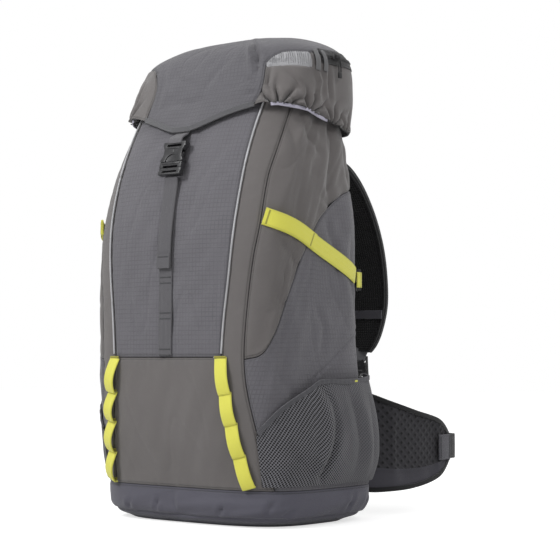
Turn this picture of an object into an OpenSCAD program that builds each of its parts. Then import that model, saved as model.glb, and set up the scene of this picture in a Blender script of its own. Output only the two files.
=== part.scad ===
// Top-loading hiking backpack, about 50 litres, standing on its flat base.
// +Z is up, the front with the lid buckle faces -Y, and the wearer's back is at +Y.
// The origin is on the flat underside of the base, below the middle of the load.

/* [Bag] */
// Wall thickness of the lined bag fabric
wall = 3; // [2:0.5:4]
// Height of the seam between the base and the panels above it
base_seam_z = 50; // [40:1:60]
// Height of the seam across the front, below the tall front panel
front_seam_z = 229; // [210:1:250]
// Height of the rim of the bag, under the lid
rim_z = 584; // [570:1:590]
// Height of the collar's drawcord
collar_top_z = 606; // [600:1:612]
// Gap left between two sewn panels
seam_gap = 0.5; // [0.3:0.1:1]

/* [Lid] */
// Height of the upper edge of the lid pocket's zip slot
zip_top_z = 652; // [650:1:654]
// Height of the zip slot
zip_slot = 6; // [5:0.5:8]
// Height of the floor of the lid pocket
lid_floor_z = 636; // [630:1:640]

/* [Webbing] */
// Width of the front closing strap
front_web = 25; // [20:1:30]
// Width of the daisy chains
chain_web = 20; // [15:1:25]
// Width of the side compression straps
side_web = 24; // [20:1:30]
// Width of the waist webbing
waist_web = 38; // [30:1:40]
// Thickness of all webbing
web = 2; // [1.5:0.5:2.5]
// How far a daisy chain loop stands out
chain_bulge = 12; // [8:1:15]

/* [Buckles] */
// Width of the front buckle
buckle_w = 41; // [38:1:45]
// Thickness of the front buckle
buckle_t = 9; // [8:0.5:11]
// How far the buckle's prongs reach into its socket
prong_reach = 15; // [12:1:18]

/* [Harness] */
// Thickness of a hip wing
wing_t = 15; // [10:1:18]
// Thickness of the aluminium stays
stay_t = 3; // [2:0.5:4]
// Width of the aluminium stays
stay_w = 25; // [20:1:30]

/* [Hidden] */

// Colours of the cloths and mouldings
ripstop = "#66656a";
taupe = "#6d6862";
base_cloth = "#53525c";
silver_trim = "#b9babd";
lime = "#dcd95c";
black = "#202124";
dark_web = "#4b4a4e";
mesh_grey = "#77777c";
liner = "#8b8c90";
metal = "#b8bcc2";

// Cross sections of the bag: height, half width, front y, back y, squareness
BAG = [
    [0, 150, -90, 106, 3.4], [15, 174, -109, 131, 4.0], [50, 179, -112, 140, 4.2],
    [120, 174, -127, 132, 4.2], [200, 173, -134, 118, 4.5], [300, 174, -134, 110, 4.5],
    [400, 175, -131, 108, 4.2], [480, 170, -117, 108, 3.6], [540, 158, -98, 106, 3.2],
    [600, 146, -68, 98, 3.0],
];
// Cross sections of the lid, in the same columns
LID = [
    [540, 166, -107, 123, 3.0], [575, 165, -89, 124, 3.2], [610, 163, -76, 125, 3.3],
    [640, 160, -63, 122, 3.2], [660, 150, -50, 112, 3.0], [674, 128, -28, 96, 2.8],
    [684, 92, 0, 76, 2.5], [688, 50, 22, 54, 2.3],
];
// Each section's middle lies this far behind the middle of its depth
middle_shift = 8;

// Half width of the front between its two piped seams, by height
PIPED_SEAM = [[228, 100], [280, 104], [350, 112], [425, 117], [500, 117], [590, 114]];
// Half width between the middles of the daisy chains, by height
CHAIN_LINE = [[50, 128], [90, 120], [138, 112], [180, 106], [228, 100]];
// Angle of the seam between a front strip and the side, by height
SIDE_SEAM = [
    [50, 55], [117, 51], [184, 48], [228, 47.5], [288, 49], [364, 52],
    [407, 54.5], [472, 57.5], [511, 61.5], [590, 71],
];
// Height of the curved seam across the side, by its share of the way round to the back
SIDE_CURVE = [
    [0, 226], [0.09, 234], [0.15, 261], [0.2, 302], [0.27, 352],
    [0.37, 401], [0.47, 430], [0.65, 457], [1, 472],
];
// Height of the lid's lower edge, by angle from the front
LID_EDGE = [
    [0, 545], [10, 547], [37, 567], [50, 575], [62, 575],
    [70, 572], [85, 561], [110, 546], [150, 550], [180, 551],
];
// Height of the mesh pocket's mouth, by angle
POCKET_MOUTH = [[49, 120], [61, 158], [76, 185], [82, 194], [101, 194], [127, 201]];
// Angles at which the panels meet
back_seam_a = 130;
lid_front_a = 56;
lid_zip_a = 80;
lid_side_a = 112;

// ---- Smooth tables and surfaces ----

function step_of(t, x, i = 0) = (i >= len(t) - 2 || x < t[i + 1][0]) ? i : step_of(t, x, i + 1);
function slope(t, i, k) =
    let (a = max(i - 1, 0), b = min(i + 1, len(t) - 1))
    (t[b][k] - t[a][k]) / (t[b][0] - t[a][0]);
// Column k of a table, read smoothly at x
function read(t, x, k = 1) =
    let (i = step_of(t, x), h = t[i + 1][0] - t[i][0],
         u = min(max((x - t[i][0]) / h, 0), 1),
         m = slope(t, i, k) * h, n = slope(t, i + 1, k) * h)
    (2 * u^3 - 3 * u^2 + 1) * t[i][k] + (u^3 - 2 * u^2 + u) * m
    + (3 * u^2 - 2 * u^3) * t[i + 1][k] + (u^3 - u^2) * n;

// A point of the bag or lid at angle a from the front (towards +X) and height z,
// moved outwards by o
function skin(t, a, z, o = 0) =
    let (w = read(t, z, 1) + o, f = read(t, z, 2) - o, b = read(t, z, 3) + o,
         n = read(t, z, 4), c = (f + b) / 2 + middle_shift,
         d = cos(a) > 0 ? c - f : b - c,
         r = pow(pow(abs(sin(a)) / w, n) + pow(abs(cos(a)) / d, n), -1 / n))
    [r * sin(a), c - r * cos(a), z];
// The angle at which the front (side = 1) or the back (side = -1) is x from the middle
function angle_at(t, x, z, side = 1) =
    let (w = read(t, z, 1), f = read(t, z, 2), b = read(t, z, 3), n = read(t, z, 4),
         c = (f + b) / 2 + middle_shift, d = side > 0 ? c - f : b - c)
    atan2(x, side * d * pow(1 - pow(min(abs(x) / w, 0.999), n), 1 / n));
// The level direction square to the bag's surface
function outward_at(a, z) =
    let (t = skin(BAG, a + 0.5, z) - skin(BAG, a - 0.5, z)) [t.y, -t.x, 0] / norm([t.x, t.y]);
function mix(a, b, u) = a + (b - a) * u;
// A bump that is 0 at 0 and 1, and 1 in the middle; a larger p makes it flatter
function crown(u, p = 4) = 1 - pow(abs(2 * u - 1), p);

// ---- Closed solids from rings of points ----

// A four-cornered face as two triangles
function split(f) = [[f[0], f[1], f[2]], [f[0], f[2], f[3]]];
// Sides between ring j of m points and ring q, which all follow one another
function side_faces(m, j, q) = [for (i = [0:m - 1])
    let (k = (i + 1) % m) each split([j * m + i, q * m + i, q * m + k, j * m + k])];
function loft_faces(m, n) = concat(
    [for (j = [0:n - 2]) each side_faces(m, j, j + 1)],
    [for (i = [0:m / 2 - 2]) each split([i, i + 1, m - 2 - i, m - 1 - i])],
    [for (i = [0:m / 2 - 2]) each split(
        [for (q = [m - 1 - i, m - 2 - i, i + 1, i]) (n - 1) * m + q])]
);
// Rings run anticlockwise as seen from the end that the rings advance towards
module loft(rings) {
    polyhedron(
        points = [for (ring = rings) each ring],
        faces = loft_faces(len(rings[0]), len(rings)), convexity = 6);
}

// A sewn panel of table t between two edge angles (functions of height) and two edge
// heights (functions of the share of the way across), from offset inner to outer
module panel(t, a0, a1, z0, z1, outer, inner, cols = 8, rows = 8) {
    function spot(i, j, o) =
        let (u = i / cols, v = j / rows, z = mix(z0(u), z1(u), v))
        skin(t, mix(a0(z), a1(z), u), z, o(u, v));
    loft([for (j = [0:rows]) concat(
        [for (i = [0:cols]) spot(i, j, outer)],
        [for (i = [cols:-1:0]) spot(i, j, inner)])]);
}
// A closed band of table t all round, from offset inner(v) to outer(v)
module band(t, z0, z1, outer, inner, cols = 36, rows = 4) {
    module solid_of(o, grow) {
        loft([for (j = [0:rows]) let (v = j / rows,
            lift = j == 0 ? -grow : j == rows ? grow : 0)
            [for (i = [0:cols - 1])
                skin(t, i * 360 / cols, mix(z0, z1, v), o(v)) + [0, 0, lift]]]);
    }
    difference() {
        solid_of(outer, 0);
        solid_of(inner, 1);
    }
}

function unit(v) = v / norm(v);
// Directions along a route, at each of its points
function along(p) = [for (i = [0:len(p) - 1])
    unit(p[min(i + 1, len(p) - 1)] - p[max(i - 1, 0)])];
// A flat strap along route p: its width lies across the directions in up
module strap(p, up, width, thick) {
    d = along(p);
    loft([for (i = [0:len(p) - 1])
        let (u = is_list(up[0]) ? up[i] : up, s = unit(cross(d[i], u)), n = cross(s, d[i]),
             w = is_list(width) ? width[i] : width, h = is_list(thick) ? thick[i] : thick)
        [p[i] - s * w / 2 - n * h / 2, p[i] + s * w / 2 - n * h / 2,
         p[i] + s * w / 2 + n * h / 2, p[i] - s * w / 2 + n * h / 2]]);
}
// A round tube along route p
module tube(p, r, sides = 8, closed = false) {
    d = closed ? [for (i = [0:len(p) - 1])
        unit(p[(i + 1) % len(p)] - p[(i + len(p) - 1) % len(p)])] : along(p);
    up = [0, 0, 1];
    rings = [for (i = [0:len(p) - 1])
        let (s = unit(cross(d[i], abs(d[i].z) > 0.9 ? [0, 1, 0] : up)), n = cross(s, d[i]))
        [for (k = [0:sides - 1])
            p[i] + r * (s * cos(k * 360 / sides) + n * sin(k * 360 / sides))]];
    if (closed) {
        count = len(rings);
        polyhedron(
            points = [for (ring = rings) each ring],
            faces = [for (j = [0:count - 1]) each side_faces(sides, j, (j + 1) % count)],
            convexity = 6);
    } else {
        loft(rings);
    }
}
module mirrored(side) {
    if (side > 0) children();
    else mirror([1, 0, 0]) children();
}
module both_sides() {
    children();
    mirror([1, 0, 0]) children();
}

// ---- Panels of the bag ----

gap_a = seam_gap / 3;
full = function(u, v) 0;
lined = function(u, v) -wall;
function strip_edge_x(z) = z < 228 ? read(CHAIN_LINE, z) : read(PIPED_SEAM, z);
strip_edge = function(z) angle_at(BAG, strip_edge_x(z), z);
side_seam = function(z) read(SIDE_SEAM, z);
low_edge = function(u) base_seam_z + seam_gap;
rim = function(u) rim_z;

module front_panel() {
    color(ripstop) panel(BAG, function(z) gap_a - strip_edge(z),
        function(z) strip_edge(z) - gap_a, function(u) front_seam_z + seam_gap,
        rim, full, lined, 10, 10);
}
module front_lower_panel() {
    color(taupe) panel(BAG, function(z) gap_a - strip_edge(z),
        function(z) strip_edge(z) - gap_a, low_edge,
        function(u) front_seam_z - seam_gap, full, lined, 10, 5);
}
module side_strip() {
    color(taupe) panel(BAG, function(z) strip_edge(z) + gap_a,
        function(z) side_seam(z) - gap_a, low_edge, rim, full, lined, 2, 14);
}
module side_upper() {
    color(taupe) panel(BAG, function(z) side_seam(z) + gap_a,
        function(z) back_seam_a - gap_a, function(u) read(SIDE_CURVE, u) + seam_gap,
        rim, full, lined, 12, 7);
}
module side_lower() {
    color(ripstop) panel(BAG, function(z) side_seam(z) + gap_a,
        function(z) back_seam_a - gap_a, low_edge,
        function(u) read(SIDE_CURVE, u) - seam_gap, full, lined, 12, 8);
}
module back_panel() {
    color(black) panel(BAG, function(z) back_seam_a + gap_a,
        function(z) 360 - back_seam_a - gap_a, low_edge, rim, full, lined, 10, 9);
}
module base_panel() {
    heights = [0, 4, 15, 32, base_seam_z];
    count = 40;
    module pan(o, lift) {
        loft([for (h = heights)
            [for (i = [0:count - 1])
                skin(BAG, i * 360 / count, h, o) + [0, 0, h == base_seam_z ? lift : 0]]]);
    }
    color(base_cloth) difference() {
        pan(0, 0);
        translate([0, 0, wall]) pan(-wall, wall);
    }
}

// ---- Trim on the bag ----

module piping() {
    piping_r = 1.8;
    color(silver_trim) both_sides()
        tube([for (z = [234:25:584]) skin(BAG, strip_edge(z), z, piping_r + 0.5)], piping_r);
}
// Webbing stitched down at its bar tacks, with a loop standing out between each pair
module daisy_chain() {
    tacks = [228, 181, 140, 97, 55];
    steps = 8;
    heights = [for (k = [0:3], i = [0:steps - 1]) mix(tacks[k], tacks[k + 1], i / steps)];
    outward = [for (z = heights) outward_at(strip_edge(z), z)];
    route = [for (i = [0:len(heights) - 1]) skin(BAG, strip_edge(heights[i]), heights[i])
        + outward[i] * (web / 2 + 1.2 + chain_bulge * pow(sin(180 * (i % steps) / steps), 0.7))];
    color(lime) strap(route, outward, chain_web, web);
}
module front_anchor_strap() {
    color(dark_web) strap([for (z = [232:22:474]) skin(BAG, 0, z, 0.6 + web / 2)],
        [0, -1, 0], front_web, web);
}
// The pocket stands proud of the side, least at its front edge
pocket_low_z = 56;
pocket_bulge = function(u, v) 1 + 24 * pow(sin(90 * min(u * 1.5, 1)), 1.3)
    * (v < 0.5 ? pow(sin(180 * min(v + 0.02, 0.5)), 0.6) : 1 - 0.35 * pow(2 * v - 1, 2));
pocket_a0 = 50;
pocket_a1 = 127;
module mesh_pocket() {
    mesh_t = 1.5;
    color(mesh_grey) {
        panel(BAG, function(z) pocket_a0, function(z) pocket_a1,
            function(u) pocket_low_z,
            function(u) read(POCKET_MOUTH, mix(pocket_a0, pocket_a1, u)),
            function(u, v) pocket_bulge(u, v) + mesh_t, pocket_bulge, 12, 6);
        // back edge, sewn to the bag
        panel(BAG, function(z) pocket_a1 + 0.1, function(z) pocket_a1 + 1,
            function(u) pocket_low_z, function(u) read(POCKET_MOUTH, pocket_a1),
            function(u, v) pocket_bulge(1, v) + mesh_t, function(u, v) 0.6, 1, 6);
    }
}
module pocket_hem() {
    hem_r = 2.5;
    clearance = 0.6;
    color(black) tube([for (i = [1:12]) let (u = i / 12, a = mix(pocket_a0, pocket_a1, u))
        skin(BAG, a, read(POCKET_MOUTH, a) + hem_r + clearance, pocket_bulge(u, 1) + 0.75)], hem_r);
}
module pocket_hems() {
    both_sides() pocket_hem();
}
// Slanting strap over the side, from the side seam to its buckle at the back
STRAP_LINE = [[55.5, 418], [70, 402], [84, 382], [100, 362], [116, 341]];
module compression_strap() {
    steps = 16;
    angles = [for (i = [0:steps]) mix(56, 114, i / steps)];
    outward = [for (a = angles) outward_at(a, read(STRAP_LINE, a))];
    route = [for (i = [0:steps]) skin(BAG, angles[i], read(STRAP_LINE, angles[i]))
        + outward[i] * (1.8 + web / 2)];
    color(lime) strap(route, outward, side_web, web);
}
module side_buckle() {
    seat = skin(BAG, 120, 338, 5);
    color(black) translate(seat) rotate([0, 0, 40]) difference() {
        cube([6, 22, 30], center = true);
        for (y = [-5.5, 5.5]) translate([0, y, 0]) cube([8, 5, 24], center = true);
    }
}
module compression_buckles() {
    both_sides() side_buckle();
}

// ---- Collar inside the lid ----

module collar() {
    color(liner) band(BAG, 566, collar_top_z - 3.5, function(v) -wall - 1.5 - 10 * v * v,
        function(v) -wall - 3 - 10 * v * v, 36, 3);
}
// The cord runs round the collar's edge, and its two ends pass down through the cord lock
cord_r = 1.4;
lock_y = -38;
lock_z = 578;
module collar_cord() {
    ends_x = 2;
    color(black) {
        tube([for (a = [5:10:355]) skin(BAG, a, collar_top_z - 1.5, -16)], cord_r);
        for (s = [-1, 1]) tube([[s * ends_x, lock_y - 9, collar_top_z - 1.5],
            [s * ends_x, lock_y, collar_top_z - 10], [s * ends_x, lock_y, lock_z - 36]], cord_r);
    }
}
barrel_r = 8;
button_r = 5.2;
module cord_slot(width) {
    translate([0, lock_y, lock_z]) cube([width, 4.4, 3 * barrel_r], center = true);
}
module cord_lock_barrel() {
    color(black) difference() {
        translate([-9, lock_y, lock_z]) rotate([0, 90, 0]) cylinder(r = barrel_r, h = 19, $fn = 40);
        translate([-7, lock_y, lock_z]) rotate([0, 90, 0]) cylinder(r = button_r + 0.3, h = 20, $fn = 40);
        cord_slot(9);
    }
}
module cord_lock_button() {
    travel = 4;
    color(dark_web) difference() {
        translate([-7 + travel + 0.5, lock_y, lock_z]) rotate([0, 90, 0])
            cylinder(r = button_r, h = 20, $fn = 40);
        translate([travel / 2, 0, 0]) cord_slot(14);
    }
}

// ---- Inside the back ----

module frame_sheet() {
    sheet_t = 1.5;
    clearance = 2.2;
    color(black) panel(BAG, function(z) 152, function(z) 208, function(u) 75,
        function(u) 540, function(u, v) -wall - clearance,
        function(u, v) -wall - clearance - sheet_t, 6, 10);
}
module stays() {
    stay_x = 45;
    inset = wall + 6;
    heights = [80:46:540];
    profile = concat(
        [for (z = heights) [read(BAG, z, 3) - inset, z]],
        [for (i = [10:-1:0]) let (z = 80 + 46 * i) [read(BAG, z, 3) - inset - stay_t, z]]);
    color(metal) both_sides() translate([stay_x - stay_w / 2, 0, 0])
        rotate([90, 0, 90]) linear_extrude(stay_w) polygon(profile);
}
module hydration_sleeve() {
    color(liner) panel(BAG, function(z) 150, function(z) 210, function(u) 180,
        function(u) 500, function(u, v) -wall - 15, function(u, v) -wall - 16.2, 6, 6);
}

// ---- Back padding ----

pad_seat = 1.8;
pad_edge = 1;
module back_pads() {
    pad_t = 12;
    color(black) both_sides()
        panel(BAG, function(z) 180 - angle_of_x(95, z), function(z) 180 - angle_of_x(24, z),
            function(u) 215, function(u) 468,
            function(u, v) pad_seat + pad_edge + (pad_t - pad_edge) * pow(crown(u) * crown(v, 8), 0.5),
            function(u, v) pad_seat, 6, 10);
}
function angle_of_x(x, z) = atan(x / (read(BAG, z, 3) - middle_shift + 3));
module lumbar_pad() {
    pad_t = 19;
    color(black) panel(BAG, function(z) 180 - angle_of_x(80, z), function(z) 180 + angle_of_x(80, z),
        function(u) 62, function(u) 192,
        function(u, v) pad_seat + pad_edge + (pad_t - pad_edge) * pow(crown(u, 6) * crown(v), 0.5),
        function(u, v) pad_seat, 10, 6);
}
yoke_z0 = 482;
yoke_z1 = 542;
module strap_yoke() {
    color(black) panel(BAG, function(z) 180 - angle_of_x(112, z), function(z) 180 + angle_of_x(112, z),
        function(u) yoke_z0, function(u) yoke_z1,
        function(u, v) 3.4, function(u, v) 0.6, 12, 3);
}
module haul_loop() {
    loop_z = 515;
    loop_w = 25;
    reach = 30;
    half = 27;
    back = read(BAG, loop_z, 3) + 5;
    color(dark_web) strap([for (i = [0:12]) let (a = 180 * i / 12)
        [-half * cos(a), back + reach * sin(a), loop_z]], [for (i = [0:12]) let (a = 180 * i / 12)
        [-cos(a), sin(a), 0]], loop_w, web);
}

// ---- Shoulder straps ----

// Middle line of a shoulder strap: x, y, z, width, thickness
SHOULDER = [
    [69, 120, 514, 60, 10], [72, 142, 505, 66, 12], [76, 166, 480, 68, 12],
    [80, 190, 440, 68, 12], [84, 205, 395, 68, 12], [87, 212, 350, 66, 12],
    [88, 214, 305, 62, 12], [86, 208, 265, 54, 11], [83, 199, 237, 42, 9],
];
module shoulder_pad() {
    n = len(SHOULDER) - 1;
    steps = 16;
    rows = [for (i = [0:steps]) let (x = i / steps * n)
        [for (k = [0:4]) read([for (j = [0:n]) [j, SHOULDER[j][k]]], x)]];
    route = [for (r = rows) [r[0], r[1], r[2]]];
    d = along(route);
    color(black) loft([for (i = [0:steps])
        let (s = [1, 0, 0], out = unit(cross(d[i], s)), w = rows[i][3] / 2, h = rows[i][4] / 2)
        [for (q = [[-1, -0.4], [-0.86, -1], [0.86, -1], [1, -0.4], [1, 0.4], [0.86, 1], [-0.86, 1], [-1, 0.4]])
            route[i] + s * q[0] * w + out * q[1] * h]]);
}
adjuster_pos = [83, 194, 216];
adjuster_tilt = 18;
adjuster_turn = 45;
module strap_adjuster() {
    color(black) translate(adjuster_pos) rotate([0, 0, adjuster_turn])
        rotate([-adjuster_tilt, 0, 0]) difference() {
        cube([28, 4, 30], center = true);
        for (z = [-8, 3]) translate([0, 0, z]) cube([21, 6, 6], center = true);
    }
}
module lower_webbing() {
    color(black) both_sides()
        strap([[138, 112, 186], [130, 128, 186], [112, 158, 189], [96, 178, 193], [88, 184, 196]],
            [for (i = [0:4]) unit([0.86, 0.5, 0])], 20, web);
}
sternum_z = 308;
sternum_y = 225;
module sternum_strap() {
    color(black) {
        translate([84, sternum_y, sternum_z]) difference() {
            cube([30, 6, 18], center = true);
            cube([20, 8, 4], center = true);
        }
        translate([36, sternum_y - 1, sternum_z - 9]) cube([32.8, web, 18]);
    }
}
module sternum_buckle(plug) {
    color(black) translate([24, sternum_y, sternum_z]) {
        if (plug) {
            translate([5.5, 0, 0]) cube([12, 7, 24], center = true);
            for (s = [-1, 1]) translate([-7, 0, 7 * s]) cube([13.2, 4, 4], center = true);
        } else {
            difference() {
                cube([23, 8, 26], center = true);
                translate([-4, 0, 0]) cube([20, 5, 19], center = true);
            }
        }
    }
}

// ---- Waist belt ----

// Middle line of a hip wing in plan, with its lower and upper edge heights
WING = [
    [98, 152, 44, 170], [120, 162, 34, 176], [143, 195, 34, 163],
    [155, 240, 38, 149], [159, 285, 50, 137], [157, 316, 72, 116],
];
module hip_wing() {
    n = len(WING) - 1;
    steps = 12;
    rows = [for (i = [0:steps]) let (x = i / steps * n)
        [for (k = [0:3]) read([for (j = [0:n]) [j, WING[j][k]]], x)]];
    route = [for (r = rows) [r[0], r[1], 0]];
    d = along(route);
    color(black) loft([for (i = [0:steps])
        let (out = cross(d[i], [0, 0, 1]), low = rows[i][2], high = rows[i][3],
             h = wing_t / 2 * (i == steps ? 0.6 : 1))
        [for (q = [[-0.4, 0], [0.4, 0], [1, 0.1], [1, 0.9], [0.4, 1], [-0.4, 1], [-1, 0.9], [-1, 0.1]])
            route[i] + out * q[0] * h + [0, 0, mix(low, high, q[1])]]]);
}
waist_z = 94;
module hip_webbing() {
    color(dark_web) strap([
        [156.5, 319, waist_z], [156, 332, waist_z], [153, 343, waist_z],
        [145, 349, waist_z], [130, 350, waist_z], [103, 350, waist_z]],
        [[1, 0, 0], [1, 0.1, 0], [1, 0.7, 0], [0.4, 1, 0], [0, 1, 0], [0, 1, 0]], waist_web, web);
}
module hip_triglide() {
    color(black) translate([122, 350, waist_z]) difference() {
        cube([20, 7, waist_web + 12], center = true);
        cube([12, 3, waist_web + 2], center = true);
        for (s = [-1, 1]) translate([s * 8, 0, 0]) cube([8, 3, waist_web + 2], center = true);
    }
}
module hip_buckle(plug) {
    hip_w = waist_web + 14;
    color(black) translate([80, 350, waist_z]) {
        if (plug) {
            translate([11, 0, 0]) cube([22, 10, hip_w], center = true);
            for (s = [-1, 0, 1]) translate([-11, 0, s * 17]) cube([22.4, 6, 6], center = true);
        } else {
            difference() {
                cube([44, 13, hip_w + 2], center = true);
                translate([-6, 0, 0]) cube([36, 8, hip_w - 6], center = true);
            }
        }
    }
}

// ---- Lid ----

function lid_edge(a) = read(LID_EDGE, abs(a > 180 ? 360 - a : a));
// Domed cover: it reaches down to the lid's edge in front and to the zip line elsewhere
module lid_cover() {
    angles = concat([for (a = [-lid_front_a:7:lid_front_a]) a], [lid_front_a + 0.3],
        [for (b = [64:11.6:296]) b], [360 - lid_front_a - 0.3]);
    rows = 7;
    crown_z = 688;
    crown_y = 38;
    function foot(a) = abs(a) <= lid_front_a ? lid_edge(a) : zip_top_z;
    function ring(o, drop, v) = [for (a = angles)
        let (z = mix(foot(a), crown_z, 1 - pow(1 - v, 1.6)))
        skin(LID, a, z, o) - [0, 0, drop * max(z - 640, 0) / (crown_z - 640)]];
    function skin_points(o, drop) = concat([for (j = [0:rows]) each ring(o, drop, j / rows)],
        [[0, crown_y, crown_z + 1 - drop]]);
    m = len(angles);
    top = (rows + 1) * m;
    // faces of one skin: the sides and the fan at the crown
    sheet = concat(
        [for (j = [0:rows - 1]) each side_faces(m, j, j + 1)],
        [for (i = [0:m - 1]) [rows * m + i, top, rows * m + (i + 1) % m]]);
    color(ripstop) polyhedron(
        points = concat(skin_points(0, 0), skin_points(-wall, wall)),
        faces = concat(sheet,
            [for (f = sheet) [for (q = [len(f) - 1:-1:0]) f[q] + top + 1]],
            [for (i = [0:m - 1]) let (k = (i + 1) % m)
                each split([i, k, top + 1 + k, top + 1 + i])]),
        convexity = 6);
}
module lid_side() {
    color(taupe) panel(LID, function(z) lid_front_a + 0.6, function(z) lid_side_a - 0.2,
        function(u) lid_edge(mix(lid_front_a, lid_side_a, u)),
        function(u) zip_top_z - seam_gap - (mix(lid_front_a, lid_side_a, u) < lid_zip_a - 1 ? 0 : zip_slot),
        full, lined, 14, 5);
}
module lid_back() {
    color(ripstop) panel(LID, function(z) lid_side_a + 0.2, function(z) 360 - lid_side_a - 0.2,
        function(u) lid_edge(mix(lid_side_a, 360 - lid_side_a, u)),
        function(u) zip_top_z - seam_gap - zip_slot, full, lined, 14, 5);
}
module lid_floor() {
    color(liner) translate([0, 0, lid_floor_z]) linear_extrude(1.5)
        polygon([for (a = [0:9:351]) let (p = skin(LID, a, lid_floor_z, -wall - 2.5)) [p.x, p.y]]);
}
module lid_zip_tape() {
    zip_z = zip_top_z - zip_slot / 2;
    half_h = 7;
    seat = 1.4;
    color(black) panel(LID, function(z) lid_zip_a, function(z) 360 - lid_zip_a,
        function(u) zip_z - half_h, function(u) zip_z + half_h,
        function(u, v) seat + 1.2, function(u, v) seat, 44, 4);
}
// Short strap sewn inside the lid's front edge
module lid_tab_strap() {
    tuck = wall + 2;
    color(dark_web) strap([
        skin(LID, 0, 578, -tuck), skin(LID, 0, 560, -tuck), skin(LID, 0, 548, -tuck),
        skin(LID, 0, 541, -tuck + 1), [0, -114.6, 534]], [0, -1, 0], front_web, web);
}

// ---- Front buckle: socket on the lid, plug on the strap ----

buckle_at = [0, -121.5, 499];
buckle_lean = 17.5;
module at_buckle() {
    translate(buckle_at) rotate([-buckle_lean, 0, 0]) children();
}
prong_t = 4;
module buckle_socket() {
    socket_l = 29;
    color(black) at_buckle() difference() {
        translate([-buckle_w / 2, -buckle_t / 2, 0.3]) cube([buckle_w, buckle_t, socket_l]);
        // throat for the prongs
        translate([-buckle_w / 2 + 3, -2.8, -1]) cube([buckle_w - 6, 5.6, prong_reach + 4]);
        // side windows over the prong tips
        for (s = [-1, 1]) translate([s * buckle_w / 2, 0, 9]) cube([12, buckle_t + 2, 8], center = true);
        // slot for the webbing
        translate([-front_web / 2 - 1, -buckle_t, socket_l - 7]) cube([front_web + 2, 2 * buckle_t, 3.5]);
    }
}
module buckle_plug() {
    plug_l = 19;
    color(black) at_buckle() {
        difference() {
            translate([-buckle_w / 2, -buckle_t / 2 + 0.5, -plug_l]) cube([buckle_w, buckle_t - 1, plug_l - 0.3]);
            // two slots of the strap adjuster, with a bar between them
            for (z = [-6.5, -15]) translate([-front_web / 2 - 1, -buckle_t, z - 1.8])
                cube([front_web + 2, 2 * buckle_t, 3.6]);
        }
        for (x = [-14.5, 0, 14.5])
            translate([x - 2.4, -prong_t / 2, -1]) cube([4.8, prong_t, prong_reach + 1]);
        for (s = [-1, 1]) translate([s * 15.2 - 2, -prong_t / 2, prong_reach - 4]) cube([4, prong_t, 4]);
    }
}
module strap_tail() {
    tail_low_z = 351;
    color(dark_web) strap(concat(
        [for (z = [tail_low_z:21:461]) skin(BAG, 0, z, 2.6 + 1.6 + web / 2)],
        [[0, -126.6, 476]]), [0, -1, 0], front_web, web);
}

// ---- Zip slider of the lid pocket, on the right ----

slider_pos = [164, 37, 649];
module zip_slider() {
    color(black) translate(slider_pos) difference() {
        union() {
            cube([4, 14, 9], center = true);
            translate([3, 0, 0]) cube([3, 9, 5], center = true);
        }
        translate([2.9, 0, 0]) cube([1.4, 10, 2.6], center = true);
    }
}
module zip_pull() {
    eye = slider_pos + [5.4, 0, 0];
    color(black) translate(eye) {
        translate([0.9, 0, -2.5]) cube([1.6, 3, 4], center = true);
        translate([0.9, 0, -17]) cube([2.4, 5, 25.4], center = true);
    }
}

// ---- Nodes ----

front_panel();
front_lower_panel();
mirrored(-1) side_strip();  // side_strip_left
side_strip();  // side_strip_right
mirrored(-1) side_upper();  // side_upper_left
side_upper();  // side_upper_right
mirrored(-1) side_lower();  // side_lower_left
side_lower();  // side_lower_right
base_panel();
back_panel();
piping();
mirrored(-1) daisy_chain();  // daisy_chain_left
daisy_chain();  // daisy_chain_right
front_anchor_strap();
mirrored(-1) mesh_pocket();  // mesh_pocket_left
mesh_pocket();  // mesh_pocket_right
pocket_hems();
mirrored(-1) compression_strap();  // compression_strap_left
compression_strap();  // compression_strap_right
compression_buckles();
collar();
collar_cord();
frame_sheet();
stays();
back_pads();
lumbar_pad();
haul_loop();
hydration_sleeve();
strap_yoke();
lower_webbing();
lid_cover();
mirrored(-1) lid_side();  // lid_side_left
lid_side();  // lid_side_right
lid_back();
lid_floor();
lid_zip_tape();
lid_tab_strap();
buckle_socket();
zip_slider();
zip_pull();
buckle_plug();
strap_tail();
mirrored(-1) hip_wing();  // hip_wing_left
hip_wing();  // hip_wing_right
mirrored(-1) hip_webbing();  // hip_webbing_left
hip_webbing();  // hip_webbing_right
mirrored(-1) hip_triglide();  // hip_triglide_left
hip_triglide();  // hip_triglide_right
mirrored(-1) hip_buckle(false);  // hip_buckle_socket
hip_buckle(true);  // hip_buckle_plug
mirrored(-1) shoulder_pad();  // shoulder_pad_left
shoulder_pad();  // shoulder_pad_right
mirrored(-1) strap_adjuster();  // strap_adjuster_left
strap_adjuster();  // strap_adjuster_right
mirrored(-1) sternum_strap();  // sternum_strap_left
sternum_strap();  // sternum_strap_right
mirrored(-1) sternum_buckle(false);  // sternum_buckle_socket
sternum_buckle(true);  // sternum_buckle_plug
cord_lock_barrel();
cord_lock_button();
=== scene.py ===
import math

import bmesh
import bpy
import numpy as np
from mathutils import Matrix, Vector
from numpy import (arange, array, asarray, broadcast_arrays, broadcast_to, clip, concatenate, cos, cross,
    degrees, diff, exp, full, gradient, hypot, interp, linspace, maximum, meshgrid, minimum, radians,
    repeat, sin, sqrt, stack, where, zeros)


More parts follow.
